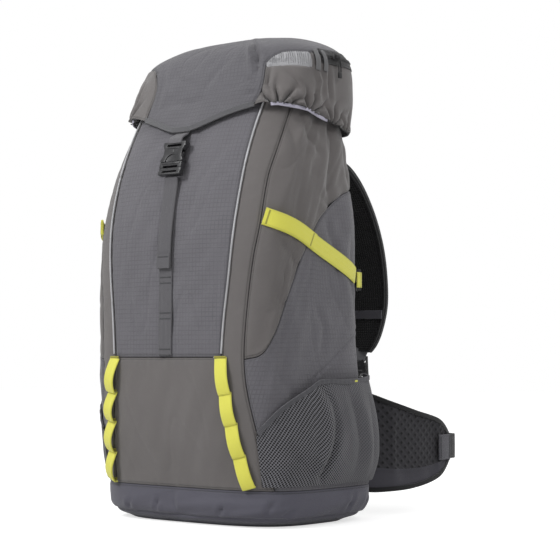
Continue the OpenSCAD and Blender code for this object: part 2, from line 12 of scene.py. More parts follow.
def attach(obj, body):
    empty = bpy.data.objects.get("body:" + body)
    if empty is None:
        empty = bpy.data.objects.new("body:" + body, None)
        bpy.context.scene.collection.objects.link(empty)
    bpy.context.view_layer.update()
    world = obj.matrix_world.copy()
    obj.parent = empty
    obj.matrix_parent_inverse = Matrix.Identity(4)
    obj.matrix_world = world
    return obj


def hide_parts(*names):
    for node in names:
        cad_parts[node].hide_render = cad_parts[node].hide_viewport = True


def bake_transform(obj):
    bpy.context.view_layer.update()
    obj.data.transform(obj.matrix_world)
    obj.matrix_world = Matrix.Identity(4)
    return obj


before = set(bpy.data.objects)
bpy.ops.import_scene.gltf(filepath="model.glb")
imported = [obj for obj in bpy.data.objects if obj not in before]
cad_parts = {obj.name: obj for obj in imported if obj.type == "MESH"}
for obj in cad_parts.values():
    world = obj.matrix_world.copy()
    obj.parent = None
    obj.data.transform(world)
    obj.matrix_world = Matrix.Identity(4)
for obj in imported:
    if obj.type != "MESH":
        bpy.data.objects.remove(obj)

MM = 0.001
SIDES = (1, "right", array([1, 1, 1])), (-1, "left", array([-1, 1, 1]))
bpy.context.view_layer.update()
bpy.ops.object.select_all(action="DESELECT")

# ---- camera, floor and light

view_turn, view_rise = math.radians(40), math.radians(-2.6)
view_right = Vector((math.cos(view_turn), math.sin(view_turn), 0))
view_back = Vector((math.sin(view_turn) * math.cos(view_rise), -math.cos(view_turn) * math.cos(view_rise),
    math.sin(view_rise)))
view_up = view_back.cross(view_right)
aim = view_right * 0.07056 + Vector((0, 0, 0.340))


def make_camera():
    data = bpy.data.cameras.new("camera")
    data.lens = 107.2
    data.sensor_width = 36
    camera = bpy.data.objects.new("camera", data)
    bpy.context.collection.objects.link(camera)
    turn = Matrix((view_right, view_up, view_back)).transposed().to_4x4()
    camera.matrix_world = Matrix.Translation(aim + view_back * 2.4) @ turn
    bpy.context.scene.camera = camera


def make_floor():
    bpy.ops.mesh.primitive_plane_add(size=14, location=(0, 0, -0.0005))
    floor = bpy.context.object
    floor.name = "floor"
    paint = bpy.data.materials.new("pale_floor")
    paint.use_nodes = True
    shader = paint.node_tree.nodes["Principled BSDF"]
    shader.inputs["Base Color"].default_value = (0.66, 0.66, 0.66, 1)
    shader.inputs["Roughness"].default_value = 0.9
    shader.inputs["Emission Color"].default_value = (0.66, 0.66, 0.66, 1)
    path = paint.node_tree.nodes.new("ShaderNodeLightPath")
    paint.node_tree.links.new(path.outputs["Is Camera Ray"], shader.inputs["Emission Strength"])
    floor.data.materials.append(paint)


def make_lamp(name, place, size, power):
    data = bpy.data.lights.new(name, "AREA")
    data.shape = "RECTANGLE"
    data.size, data.size_y = size
    data.energy = power
    lamp = bpy.data.objects.new(name, data)
    lamp.location = place
    lamp.rotation_mode = "QUATERNION"
    lamp.rotation_quaternion = (Vector((0, 0, 0.35)) - Vector(place)).to_track_quat("-Z", "Y")
    bpy.context.collection.objects.link(lamp)


def make_light():
    world = bpy.data.worlds.new("pale_studio")
    world.use_nodes = True
    sky = world.node_tree.nodes["Background"]
    sky.inputs["Color"].default_value = (1, 1, 1, 1)
    tree = world.node_tree
    path = tree.nodes.new("ShaderNodeLightPath")
    level = tree.nodes.new("ShaderNodeMapRange")
    level.inputs["To Min"].default_value = 0.55
    level.inputs["To Max"].default_value = 1.0
    tree.links.new(path.outputs["Is Camera Ray"], level.inputs["Value"])
    tree.links.new(level.outputs[0], sky.inputs["Strength"])
    bpy.context.scene.world = world
    bpy.context.scene.view_settings.view_transform = "Standard"
    make_lamp("key_light", (-0.7, -2.0, 2.0), (0.7, 0.7), 40)
    make_lamp("top_light", (0.5, 0.3, 2.9), (1.4, 1.4), 7)
    make_lamp("side_light", (2.5, -0.7, 2.0), (0.7, 0.7), 13)
    make_lamp("back_light", (0.6, 2.6, 2.0), (1.6, 1.2), 10)


# ---- shader groups

class Nodes:
    """Short calls that add nodes to one node tree."""

    def __init__(self, tree):
        self.tree = tree

    def add(self, kind, **settings):
        node = self.tree.nodes.new(kind)
        for key, value in settings.items():
            setattr(node, key, value)
        return node

    def join(self, value, socket):
        if isinstance(value, bpy.types.NodeSocket):
            self.tree.links.new(value, socket)
        elif value is not None:
            socket.default_value = value

    def math(self, operation, *values):
        node = self.add("ShaderNodeMath", operation=operation)
        for value, socket in zip(values, node.inputs):
            self.join(value, socket)
        return node.outputs[0]

    def plus(self, a, b):
        return self.math("ADD", a, b)

    def less(self, a, b):
        return self.math("SUBTRACT", a, b)

    def times(self, a, b):
        return self.math("MULTIPLY", a, b)

    def over(self, a, b):
        return self.math("DIVIDE", a, b)

    def size(self, a):
        return self.math("ABSOLUTE", a)

    def apart(self, vector):
        node = self.add("ShaderNodeSeparateXYZ")
        self.join(vector, node.inputs[0])
        return node.outputs

    def together(self, x, y, z=0.0):
        node = self.add("ShaderNodeCombineXYZ")
        for value, socket in zip((x, y, z), node.inputs):
            self.join(value, socket)
        return node.outputs[0]

    def noise(self, vector, scale, detail=2.0, roughness=0.5):
        node = self.add("ShaderNodeTexNoise")
        self.join(vector, node.inputs["Vector"])
        self.join(scale, node.inputs["Scale"])
        self.join(detail, node.inputs["Detail"])
        self.join(roughness, node.inputs["Roughness"])
        return node.outputs["Fac"]

    def ramp(self, value, low, high, to_low=0.0, to_high=1.0):
        node = self.add("ShaderNodeMapRange", clamp=True)
        for v, socket in zip((value, low, high, to_low, to_high), node.inputs):
            self.join(v, socket)
        return node.outputs[0]

    def blend(self, factor, a, b):
        node = self.add("ShaderNodeMix", data_type="RGBA")
        self.join(factor, node.inputs[0])
        self.join(a, node.inputs[6])
        self.join(b, node.inputs[7])
        return node.outputs[2]


GROUPS = {}


def group(gives, **takes):
    """Builds a shader group out of a function; it takes numbers, or vectors where the value is None."""
    def build(function):
        tree = GROUPS[function.__name__] = bpy.data.node_groups.new(function.__name__, "ShaderNodeTree")
        for title, value in takes.items():
            kind = "NodeSocketVector" if value is None else "NodeSocketFloat"
            socket = tree.interface.new_socket(title, in_out="INPUT", socket_type=kind)
            if value is not None:
                socket.default_value = value
        for title in gives.split():
            tree.interface.new_socket(title, in_out="OUTPUT", socket_type="NodeSocketFloat")
        n = Nodes(tree)
        function(n, n.add("NodeGroupInput").outputs, n.add("NodeGroupOutput").inputs)
    return build


@group("Height Tone", Place=None, Thread=0.0006)
def plain_weave(n, i, o):
    """Threads over and under each other: a height and a thread-to-thread tone."""
    x, y, _ = n.apart(i["Place"])
    u, v = n.over(x, i["Thread"]), n.over(y, i["Thread"])
    warp = n.size(n.math("SINE", n.times(u, math.pi)))
    weft = n.size(n.math("SINE", n.times(v, math.pi)))
    over = n.math("PINGPONG", n.plus(n.math("FLOOR", u), n.math("FLOOR", v)), 1.0)
    n.join(n.plus(n.times(warp, over), n.times(weft, n.less(1.0, over))), o["Height"])
    streak = n.noise(n.together(n.times(n.math("FLOOR", u), 7.31), 0.0), 1.0)
    slub = n.noise(n.together(n.times(x, 60.0), n.times(n.math("FLOOR", v), 3.7)), 1.0)
    n.join(n.plus(n.times(streak, 0.5), n.times(slub, 0.5)), o["Tone"])


@group("Line", Place=None, Cell=0.006, Line=0.0009)
def rip_grid(n, i, o):
    """The raised square grid of ripstop cloth."""
    lines = []
    for axis in n.apart(i["Place"])[:2]:
        away = n.size(n.less(n.math("MODULO", n.plus(axis, 9.0), i["Cell"]), n.times(i["Cell"], 0.5)))
        lines.append(n.ramp(away, n.times(i["Line"], 0.35), i["Line"], 1.0, 0.0))
    n.join(n.math("MAXIMUM", *lines), o["Line"])


@group("Dash Groove", Along=0.0, Beside=0.0, Row=0.0025, Pitch=0.0032, Thread=0.0005)
def stitches(n, i, o):
    """A row of thread dashes beside an edge: Beside is the distance from it."""
    off = n.size(n.less(i["Beside"], i["Row"]))
    phase = n.size(n.less(n.math("FRACT", n.over(n.plus(i["Along"], 9.0), i["Pitch"])), 0.5))
    near = n.ramp(off, n.times(i["Thread"], 0.6), i["Thread"], 1.0, 0.0)
    n.join(n.times(near, n.ramp(phase, 0.34, 0.40, 1.0, 0.0)), o["Dash"])
    n.join(n.ramp(off, 0.0, n.times(i["Thread"], 2.6), 1.0, 0.0), o["Groove"])


@group("Tone Scuff", Place=None, Size=0.08)
def wear(n, i, o):
    """Rubbing and dust over a piece: broad tone, fine scuffs."""
    scale = n.over(1.0, i["Size"])
    n.join(n.noise(i["Place"], scale, 4.0, 0.55), o["Tone"])
    n.join(n.ramp(n.noise(i["Place"], n.times(scale, 9.0), 6.0, 0.7), 0.56, 0.74), o["Scuff"])


@group("Height Edge", Place=None, Width=0.025, Rib=0.0016)
def webbing_weave(n, i, o):
    """Woven strap: chevron ribs across the width, with a thicker edge. X runs across."""
    x, y, _ = n.apart(i["Place"])
    fold = n.math("PINGPONG", n.plus(x, 1.0), n.over(i["Width"], 6.0))
    rib = n.math("SINE", n.times(n.over(n.plus(y, fold), i["Rib"]), 2 * math.pi))
    yarn = n.math("SINE", n.times(n.over(x, 0.0009), 2 * math.pi))
    n.join(n.plus(n.times(rib, 0.35), n.times(yarn, 0.15)), o["Height"])
    side = n.over(n.size(x), n.times(i["Width"], 0.5))
    n.join(n.ramp(side, 0.86, 0.95), o["Edge"])


@group("Hole Height", Place=None, Cell=0.003, Hole=0.34, Turn=0.785)
def net(n, i, o):
    """Open net of round-cornered holes on a square or slanting grid."""
    turn = n.add("ShaderNodeVectorRotate", rotation_type="Z_AXIS")
    n.join(i["Place"], turn.inputs["Vector"])
    n.join(i["Turn"], turn.inputs["Angle"])
    x, y, _ = n.apart(turn.outputs[0])
    parts = []
    for axis in (x, y):
        cell = n.math("FRACT", n.over(n.plus(axis, 9.0), i["Cell"]))
        parts.append(n.math("POWER", n.size(n.less(cell, 0.5)), 3.0))
    reach = n.math("POWER", n.plus(*parts), 1 / 3)
    n.join(n.ramp(reach, n.less(i["Hole"], 0.06), n.plus(i["Hole"], 0.04), 1.0, 0.0), o["Hole"])
    n.join(n.ramp(reach, n.less(i["Hole"], 0.08), 0.52), o["Height"])


class Finish(Nodes):
    """One material being built, with its Principled shader and the surface coordinates."""

    def __init__(self, name, roughness=0.8, sheen=0.0, specular=0.3):
        self.paint = bpy.data.materials.new(name)
        self.paint.use_nodes = True
        super().__init__(self.paint.node_tree)
        self.shader = self.tree.nodes["Principled BSDF"]
        self.shader.inputs["Roughness"].default_value = roughness
        self.shader.inputs["Specular IOR Level"].default_value = specular
        if sheen:
            self.shader.inputs["Sheen Weight"].default_value = sheen
            self.shader.inputs["Sheen Roughness"].default_value = 0.45
        self.cloth = self.add("ShaderNodeUVMap", uv_map="cloth").outputs[0]
        self.edges = self.apart(self.add("ShaderNodeUVMap", uv_map="edges").outputs[0])
        self.room = self.add("ShaderNodeTexCoord").outputs["Object"]

    def use(self, name, **values):
        node = self.add("ShaderNodeGroup")
        node.node_tree = GROUPS[name]
        for key, value in values.items():
            self.join(value, node.inputs[key])
        return node.outputs

    def bump(self, height, distance, strength=1.0, under=None):
        node = self.add("ShaderNodeBump")
        self.join(height, node.inputs["Height"])
        node.inputs["Distance"].default_value = distance
        node.inputs["Strength"].default_value = strength
        self.join(under, node.inputs["Normal"])
        return node.outputs[0]

    def finish(self, colour, normal=None, roughness=None):
        self.join(colour, self.shader.inputs["Base Color"])
        self.join(normal, self.shader.inputs["Normal"])
        self.join(roughness, self.shader.inputs["Roughness"])
        return self.paint


def shade(colour, k):
    return (*[min(c * k, 1.0) for c in colour], 1.0)


def stitched_edges(f, colour, normal, thread, row=0.0028):
    """Adds rows of stitches beside the side edges and the end edges of a panel."""
    x, y, _ = f.apart(f.cloth)
    beside, ends, _ = f.edges
    down = f.use("stitches", Along=y, Beside=beside, Row=row)
    over = f.use("stitches", Along=x, Beside=ends, Row=row)
    dash = f.math("MAXIMUM", down["Dash"], over["Dash"])
    groove = f.math("MAXIMUM", down["Groove"], over["Groove"])
    # painted shade: the groove beside each row of stitches is painted darker
    colour = f.blend(f.times(groove, 0.35), colour, shade(thread, 0.35))
    colour = f.blend(dash, colour, (*thread, 1.0))
    normal = f.bump(groove, -0.0006, 0.8, normal)
    return colour, f.bump(dash, 0.0004, 1.0, normal)


def cloth_finish(name, colour, thread_size, grid=None, thread=None, roughness=0.72, sheen=0.25,
        contrast=0.10, hem=True):
    """A woven cloth, plain or with a ripstop grid, stitched along its edges."""
    f = Finish(name, roughness, sheen)
    weave = f.use("plain_weave", Place=f.cloth, Thread=thread_size)
    wear = f.use("wear", Place=f.room, Size=0.09)
    tone = f.plus(f.times(weave["Tone"], 0.6), f.times(wear["Tone"], 0.7))
    paint = f.blend(f.ramp(tone, 0.35, 0.95), shade(colour, 1 - contrast), shade(colour, 1 + contrast))
    paint = f.blend(f.times(wear["Scuff"], 0.10), paint, shade(colour, 1.6))
    # painted highlight: the raised threads of the weave are painted lighter
    paint = f.blend(f.times(weave["Height"], 0.12), paint, shade(colour, 1.35))
    normal = f.bump(weave["Height"], 0.00012, 0.6)
    if grid:
        line = f.use("rip_grid", Place=f.cloth, Cell=grid, Line=0.0010)["Line"]
        patchy = f.ramp(f.noise(f.cloth, 26.0, 2.0), 0.35, 0.7, 0.10, 0.36)
        paint = f.blend(f.times(line, patchy), paint, shade(colour, 0.45))
        normal = f.bump(line, 0.0003, 0.7, normal)
    if hem:
        paint, normal = stitched_edges(f, paint, normal, thread or tuple(c * 0.8 for c in colour))
        # painted shade: the cloth is painted darker along its seamed edges
        seam = f.math("MINIMUM", f.edges[0], f.edges[1])
        paint = f.blend(f.ramp(seam, 0.0, 0.0016, 0.55, 0.0), paint, shade(colour, 0.35))
    rough = f.ramp(wear["Tone"], 0.3, 0.7, roughness - 0.06, roughness + 0.08)
    return f.finish(paint, normal, rough)


def webbing_finish(name, colour, width, roughness=0.62):
    f = Finish(name, roughness, 0.3)
    weave = f.use("webbing_weave", Place=f.cloth, Width=width)
    wear = f.use("wear", Place=f.room, Size=0.05)
    # painted shade and highlight: the ribs' hollows are painted darker and their crowns lighter
    paint = f.blend(f.ramp(weave["Height"], -0.5, 0.5), shade(colour, 0.80), shade(colour, 1.08))
    paint = f.blend(f.times(wear["Tone"], 0.2), paint, shade(colour, 0.75))
    # painted shade: the strap's thick edges are painted darker
    paint = f.blend(f.times(weave["Edge"], 0.35), paint, shade(colour, 0.72))
    normal = f.bump(weave["Height"], 0.0004, 0.9)
    return f.finish(paint, f.bump(weave["Edge"], 0.0003, 0.8, normal))


def net_finish(name, colour, cell, hole, turn, depth, dark=0.16, roughness=0.8, shade_span=None):
    """Knitted net or perforated spacer cloth: its holes are painted dark, a painted shade of the space behind
    them.

    With a (from, to) span across the cloth, the painted shade in the holes lessens where the net lies on
    other cloth, and the net there is painted darker: painted shade."""
    f = Finish(name, roughness, 0.2)
    net = f.use("net", Place=f.cloth, Cell=cell, Hole=hole, Turn=turn)
    wear = f.use("wear", Place=f.room, Size=0.06)
    paint = f.blend(f.ramp(wear["Tone"], 0.3, 0.7), shade(colour, 0.88), shade(colour, 1.12))
    hole_shade_mask = net["Hole"]
    # painted shade: across this span the holes' painted shade lessens and the net is painted darker
    if shade_span:
        across = f.apart(f.cloth)[0]
        hole_shade_mask = f.times(hole_shade_mask, f.ramp(across, *shade_span, 1.0, 0.42))
        paint = f.blend(f.ramp(across, *shade_span, 0.0, 0.55), paint, shade(colour, 0.36))
    # painted shade: the holes are painted dark for the shaded space behind the net
    paint = f.blend(hole_shade_mask, paint, shade(colour, dark))
    return f.finish(paint, f.bump(net["Height"], depth, 0.9))


def moulded_finish(name, colour, roughness=0.42):
    """Moulded plastic with a fine sparked texture and scuffed high spots."""
    f = Finish(name, roughness, 0.0, 0.5)
    wear = f.use("wear", Place=f.room, Size=0.02)
    grain = f.noise(f.room, 2600.0, 2.0)
    paint = f.blend(f.ramp(wear["Tone"], 0.3, 0.75), shade(colour, 0.85), shade(colour, 1.25))
    paint = f.blend(f.times(wear["Scuff"], 0.16), paint, (0.35, 0.35, 0.36, 1))
    rough = f.ramp(wear["Tone"], 0.3, 0.7, roughness - 0.08, roughness + 0.14)
    return f.finish(paint, f.bump(grain, 0.00006, 0.7), rough)


RIP_CELL = 0.0062
RIPSTOP = (0.130, 0.126, 0.140)
TAUPE = (0.134, 0.124, 0.122)
BASE = (0.090, 0.088, 0.112)
LIME = (0.90, 0.87, 0.125)
DARK_WEB = (0.105, 0.102, 0.112)
BLACK = (0.012, 0.012, 0.013)
NET_GREY = (0.195, 0.193, 0.212)
PAINTS = {}


def make_paints():
    cloth, web, net, moulded = cloth_finish, webbing_finish, net_finish, moulded_finish
    PAINTS.update(ripstop=cloth("ripstop_cloth", RIPSTOP, 0.0007, grid=RIP_CELL, thread=(0.10, 0.10, 0.11)),
        # painted shade: the lid cover is a darker copy of the ripstop, for the light that falls on the lid
        # top
        lid_ripstop=cloth("lid_ripstop_cloth", (0.113, 0.110, 0.122), 0.0007, grid=RIP_CELL,
        thread=(0.09, 0.09, 0.10)), taupe=cloth("taupe_cloth", TAUPE, 0.0008, thread=(0.09, 0.085, 0.08),
        sheen=0.35), base=cloth("base_cloth", BASE, 0.0011, thread=(0.05, 0.05, 0.06), roughness=0.62),
        lining=cloth("lining_cloth", (0.30, 0.30, 0.31), 0.0006, roughness=0.6),
        inside=cloth("coated_inside", (0.20, 0.20, 0.21), 0.0007, roughness=0.5, hem=False),
        harness=cloth("harness_cloth", (0.022, 0.022, 0.024), 0.0008, roughness=0.85,
        thread=(0.05, 0.05, 0.05), contrast=0.2), binding=web("black_binding", BLACK, 0.016, 0.75),
        grey_binding=web("grey_binding", (0.16, 0.16, 0.165), 0.016, 0.75),
        lime=web("lime_webbing", LIME, 0.020), lime_thread=web("lime_thread", (0.42, 0.40, 0.07), 0.004),
        grey_web=web("grey_webbing", DARK_WEB, 0.025), dark_thread=web("dark_thread", (0.05, 0.05, 0.055),
        0.004), piping=piping_finish(), net=net("pocket_net", NET_GREY, 0.0034, 0.38, 0.785, 0.0008, 0.02,
        shade_span=(-0.012, 0.016)), spacer=net("perforated_foam_cloth", (0.037, 0.036, 0.041), 0.0095, 0.20,
        0.785, 0.0012, 0.25), air_mesh=net("air_mesh", (0.012, 0.012, 0.013), 0.0040, 0.30, 0.0, 0.0009,
        0.3), plastic=moulded("black_acetal", (0.018, 0.018, 0.019)),
        grey_plastic=moulded("grey_acetal", (0.055, 0.055, 0.058), 0.5),
        sheet_plastic=moulded("frame_sheet_plastic", (0.05, 0.052, 0.056), 0.5), metal=metal_finish(),
        net_band=net("net_band", (0.105, 0.104, 0.115), 0.0018, 0.26, 0.0, 0.0004, 0.4),
        lid_binding=web("lid_binding", (0.12, 0.12, 0.128), 0.008), ruffle=cloth("ruffled_lining",
        (0.36, 0.36, 0.375), 0.0006, roughness=0.6, hem=False), reflective_edge=web("reflective_edge",
        (0.60, 0.58, 0.70), 0.005, 0.45), tab_web=web("tab_webbing", (0.135, 0.132, 0.142), 0.025),
        black_web_narrow=web("black_webbing_20", (0.022, 0.022, 0.024), 0.020),
        grey_web_narrow=web("grey_webbing_20", (0.16, 0.16, 0.17), 0.020),
        grey_web_wide=web("charcoal_webbing_38", (0.03, 0.03, 0.033), 0.037),
        wing_band=cloth("wing_band_cloth", (0.058, 0.056, 0.068), 0.0009, hem=False),
        wing_panel=web("wing_end_webbing", (0.085, 0.083, 0.100), 0.038),
        zip_black=web("zip_tape", (0.010, 0.010, 0.011), 0.009), olive_thread=cloth("olive_bar_tack",
        (0.30, 0.28, 0.045), 0.0006, hem=False), buckle_grey=moulded("dark_grey_acetal",
        (0.026, 0.026, 0.028), 0.30))


def piping_finish():
    """Reflective piping: a tight wrapped cord with a bright, slightly glossy skin."""
    f = Finish("reflective_piping", 0.38, 0.0, 0.6)
    x, y, _ = f.apart(f.cloth)
    wrap = f.math("SINE", f.times(f.over(y, 0.0022), 2 * math.pi))
    wear = f.use("wear", Place=f.room, Size=0.03)
    paint = f.blend(f.ramp(wear["Tone"], 0.3, 0.7), (0.36, 0.36, 0.37, 1), (0.50, 0.50, 0.52, 1))
    return f.finish(paint, f.bump(wrap, 0.0002, 0.5))


def metal_finish():
    """Brushed aluminium bar."""
    f = Finish("brushed_aluminium", 0.35, 0.0, 0.5)
    f.shader.inputs["Metallic"].default_value = 1.0
    stretch = f.add("ShaderNodeMapping")
    f.join(f.room, stretch.inputs["Vector"])
    stretch.inputs["Scale"].default_value = (900, 900, 12)
    brushed = f.noise(stretch.outputs[0], 1.0, 4.0)
    paint = f.blend(brushed, (0.60, 0.61, 0.63, 1), (0.74, 0.75, 0.77, 1))
    return f.finish(paint, f.bump(brushed, 0.00005, 0.6))


# ---- the bag's own surface

# Sections: height, half width, front y, back y, squareness (millimetres)
BAG = array([[0, 150, -90, 106, 3.4], [15, 174, -109, 131, 4.0], [50, 179, -112, 140, 4.2],
    [120, 174, -127, 132, 4.2], [200, 173, -134, 118, 4.5], [300, 174, -134, 110, 4.5],
    [400, 175, -131, 108, 4.2], [480, 170, -117, 108, 3.6], [540, 158, -98, 106, 3.2],
    [600, 146, -68, 98, 3.0]], float)
LID = array([[540, 166, -107, 123, 3.0], [575, 165, -89, 124, 3.2], [610, 163, -76, 125, 3.3],
    [640, 160, -63, 122, 3.2], [660, 150, -50, 112, 3.0], [674, 128, -28, 96, 2.8], [684, 92, 0, 76, 2.5],
    [688, 50, 22, 54, 2.3]], float)
MIDDLE_SHIFT = 8
PIPED_SEAM = [[228, 100], [280, 104], [350, 112], [425, 117], [500, 117], [590, 114]]
CHAIN_LINE = [[50, 128], [90, 120], [138, 112], [180, 106], [228, 100]]
SIDE_SEAM = [[50, 55], [117, 51], [184, 48], [228, 47.5], [288, 49], [364, 52], [407, 54.5], [472, 57.5],
    [511, 61.5], [590, 71]]
SIDE_CURVE = [[0, 226], [0.09, 234], [0.15, 261], [0.2, 302], [0.27, 352], [0.37, 401], [0.47, 430],
    [0.65, 457], [1, 472]]
LID_EDGE = [[0, 545], [10, 547], [37, 567], [50, 575], [62, 575], [70, 572], [85, 561], [110, 546],
    [150, 550], [180, 551]]
POCKET_MOUTH = [[49, 120], [61, 158], [76, 185], [82, 194], [101, 194], [127, 201]]
STRAP_LINE = [[55.5, 418], [70, 402], [84, 382], [100, 362], [116, 341]]
BACK_SEAM, BASE_SEAM, FRONT_SEAM, RIM = 130, 50, 229, 584


def unit(vectors):
    return vectors / np.linalg.norm(vectors, axis=-1, keepdims=True)


def bell(x, width):
    """1 at x = 0, falling away smoothly on both sides."""
    return exp(-(x / width) ** 2)


def grown(x, width):
    """0 at x = 0, rising towards 1."""
    return 1 - exp(-x / width)


def read(table, x, column=1):
    """Column of a table, read smoothly at x."""
    t, x = asarray(table, float), asarray(x, float)
    i = clip(np.searchsorted(t[:, 0], x, side="right") - 1, 0, len(t) - 2)
    low, high = maximum(arange(len(t)) - 1, 0), minimum(arange(len(t)) + 1, len(t) - 1)
    slope = (t[high, column] - t[low, column]) / (t[high, 0] - t[low, 0])
    h = t[i + 1, 0] - t[i, 0]
    u = clip((x - t[i, 0]) / h, 0, 1)
    return ((2 * u**3 - 3 * u**2 + 1) * t[i, column] + (u**3 - 2 * u**2 + u) * slope[i] * h
        + (3 * u**2 - 2 * u**3) * t[i + 1, column] + (u**3 - u**2) * slope[i + 1] * h)


def skin(table, angle, z, out=0.0):
    """Points at an angle from the front (towards +X) and a height, moved outwards."""
    angle, z, out = broadcast_arrays(asarray(angle, float), z, out)
    w, f, b = read(table, z, 1) + out, read(table, z, 2) - out, read(table, z, 3) + out
    n, c = read(table, z, 4), (f + b) / 2 + MIDDLE_SHIFT
    s, k = sin(radians(angle)), cos(radians(angle))
    r = ((abs(s) / w) ** n + (abs(k) / where(k > 0, c - f, b - c)) ** n) ** (-1 / n)
    return stack([r * s, c - r * k, z], -1)


def front_angle(x, z):
    """The angle at which the bag's front is x from the middle."""
    w, f, b, n = (read(BAG, z, k) for k in (1, 2, 3, 4))
    c = (f + b) / 2 + MIDDLE_SHIFT
    return degrees(np.arctan2(x, (c - f) * (1 - minimum(abs(x) / w, 0.999) ** n) ** (1 / n)))


def strip_edge(z):
    z = asarray(z, float)
    return front_angle(where(z < 228, read(CHAIN_LINE, z), read(PIPED_SEAM, z)), z)


def outward_at(table, angle, z):
    """The level direction square to the surface."""
    t = skin(table, angle + 0.5, z) - skin(table, angle - 0.5, z)
    n = stack([t[..., 1], -t[..., 0], 0 * t[..., 0]], -1)
    return unit(n)


# ---- folds of cloth

def soft_noise(x, y, size, seed, stretch=1.0, turn=0.0):
    """Smooth bumps from -1 to 1, about size apart, drawn out along the turned X direction."""
    slopes = np.random.default_rng(seed).uniform(0, 2 * np.pi, (64, 64))
    c, s = math.cos(turn), math.sin(turn)
    u, v = (x * c + y * s) / (size * stretch) + 20.5, (y * c - x * s) / size + 20.5
    i, j = np.floor(u).astype(int), np.floor(v).astype(int)
    fu, fv = u - i, v - j
    ease_u, ease_v = (t**3 * (t * (6 * t - 15) + 10) for t in (fu, fv))
    total = 0
    for di in (0, 1):
        for dj in (0, 1):
            g = slopes[(i + di) % 64, (j + dj) % 64]
            dot = cos(g) * (fu - di) + sin(g) * (fv - dj)
            total = total + dot * (ease_u if di else 1 - ease_u) * (ease_v if dj else 1 - ease_v)
    return total * 1.5


def near_line(x, y, line):
    """Distance from points to a broken line, and the share of the way along it."""
    best, share = full(np.shape(x), 1e9), zeros(np.shape(x))
    for k in range(len(line) - 1):
        (ax, ay), (bx, by) = line[k], line[k + 1]
        dx, dy = bx - ax, by - ay
        t = clip(((x - ax) * dx + (y - ay) * dy) / (dx * dx + dy * dy), 0, 1)
        d = hypot(x - ax - t * dx, y - ay - t * dy)
        share = where(d < best, (k + t) / (len(line) - 1), share)
        best = minimum(best, d)
    return best, share


def crease(x, y, line, depth, width, fade=True):
    """A fold pressed in along a line: sharp in the middle, with a soft lip on both sides."""
    d, share = near_line(x, y, line)
    strength = sin(np.pi * clip(share, 0.02, 0.98)) ** 0.6 if fade else 1.0
    return -depth * strength * (exp(-d / width) - 0.55 * exp(-((d - 2 * width) / (1.4 * width)) ** 2))


def creases(x, y, folds, scale=1.0):
    """All the folds of a list of (line, depth, width); scale turns a line's angles into lengths."""
    return sum(crease(x, y, [(a * scale, b) for a, b in line], depth, width) for line, depth, width in folds)


class Lay:
    """Where each point of a panel lies on its cloth, in millimetres."""

    def __init__(self, points):
        self.across, self.along = spans(points, 1), spans(points, 0)
        self.side = minimum(self.across, self.across[:, -1:] - self.across)
        self.ends = minimum(self.along, self.along[-1:] - self.along)
        self.across = self.across - self.across[:, -1:] / 2


def spans(points, axis):
    """Distances along a grid of points from its first row or column."""
    step = np.linalg.norm(diff(points, axis=axis), axis=-1)
    return concatenate([np.zeros_like(np.take(step, [0], axis=axis)), np.cumsum(step, axis=axis)], axis)


def sewn(lay, seed, swell=1.6, fold=0.8, sharp=0.7, turn=0.5, size=70, pucker=0.45):
    """How far a sewn panel stands out: seam dips, puckers beside them and soft folds."""
    x, y = lay.across, lay.along
    edge = minimum(lay.side, lay.ends)
    broad = soft_noise(x, y, size, seed) * swell
    folds = soft_noise(x, y, size * 0.34, seed + 1, 3.2, turn) * fold
    line = clip(1 - abs(soft_noise(x, y, size * 0.9, seed + 2, 2.6, turn + 0.7)) * 10, 0, 1) ** 2
    beside = (exp(-lay.side / 9) * soft_noise(y, lay.side * 0.2, 9, seed + 3) + exp(-lay.ends / 9)
        * soft_noise(x, lay.ends * 0.2, 9, seed + 4))
    return ((broad + folds - line * sharp) * grown(edge, 20) + beside * pucker - 1.2 * bell(edge, 2.0))


# ---- meshes from grids

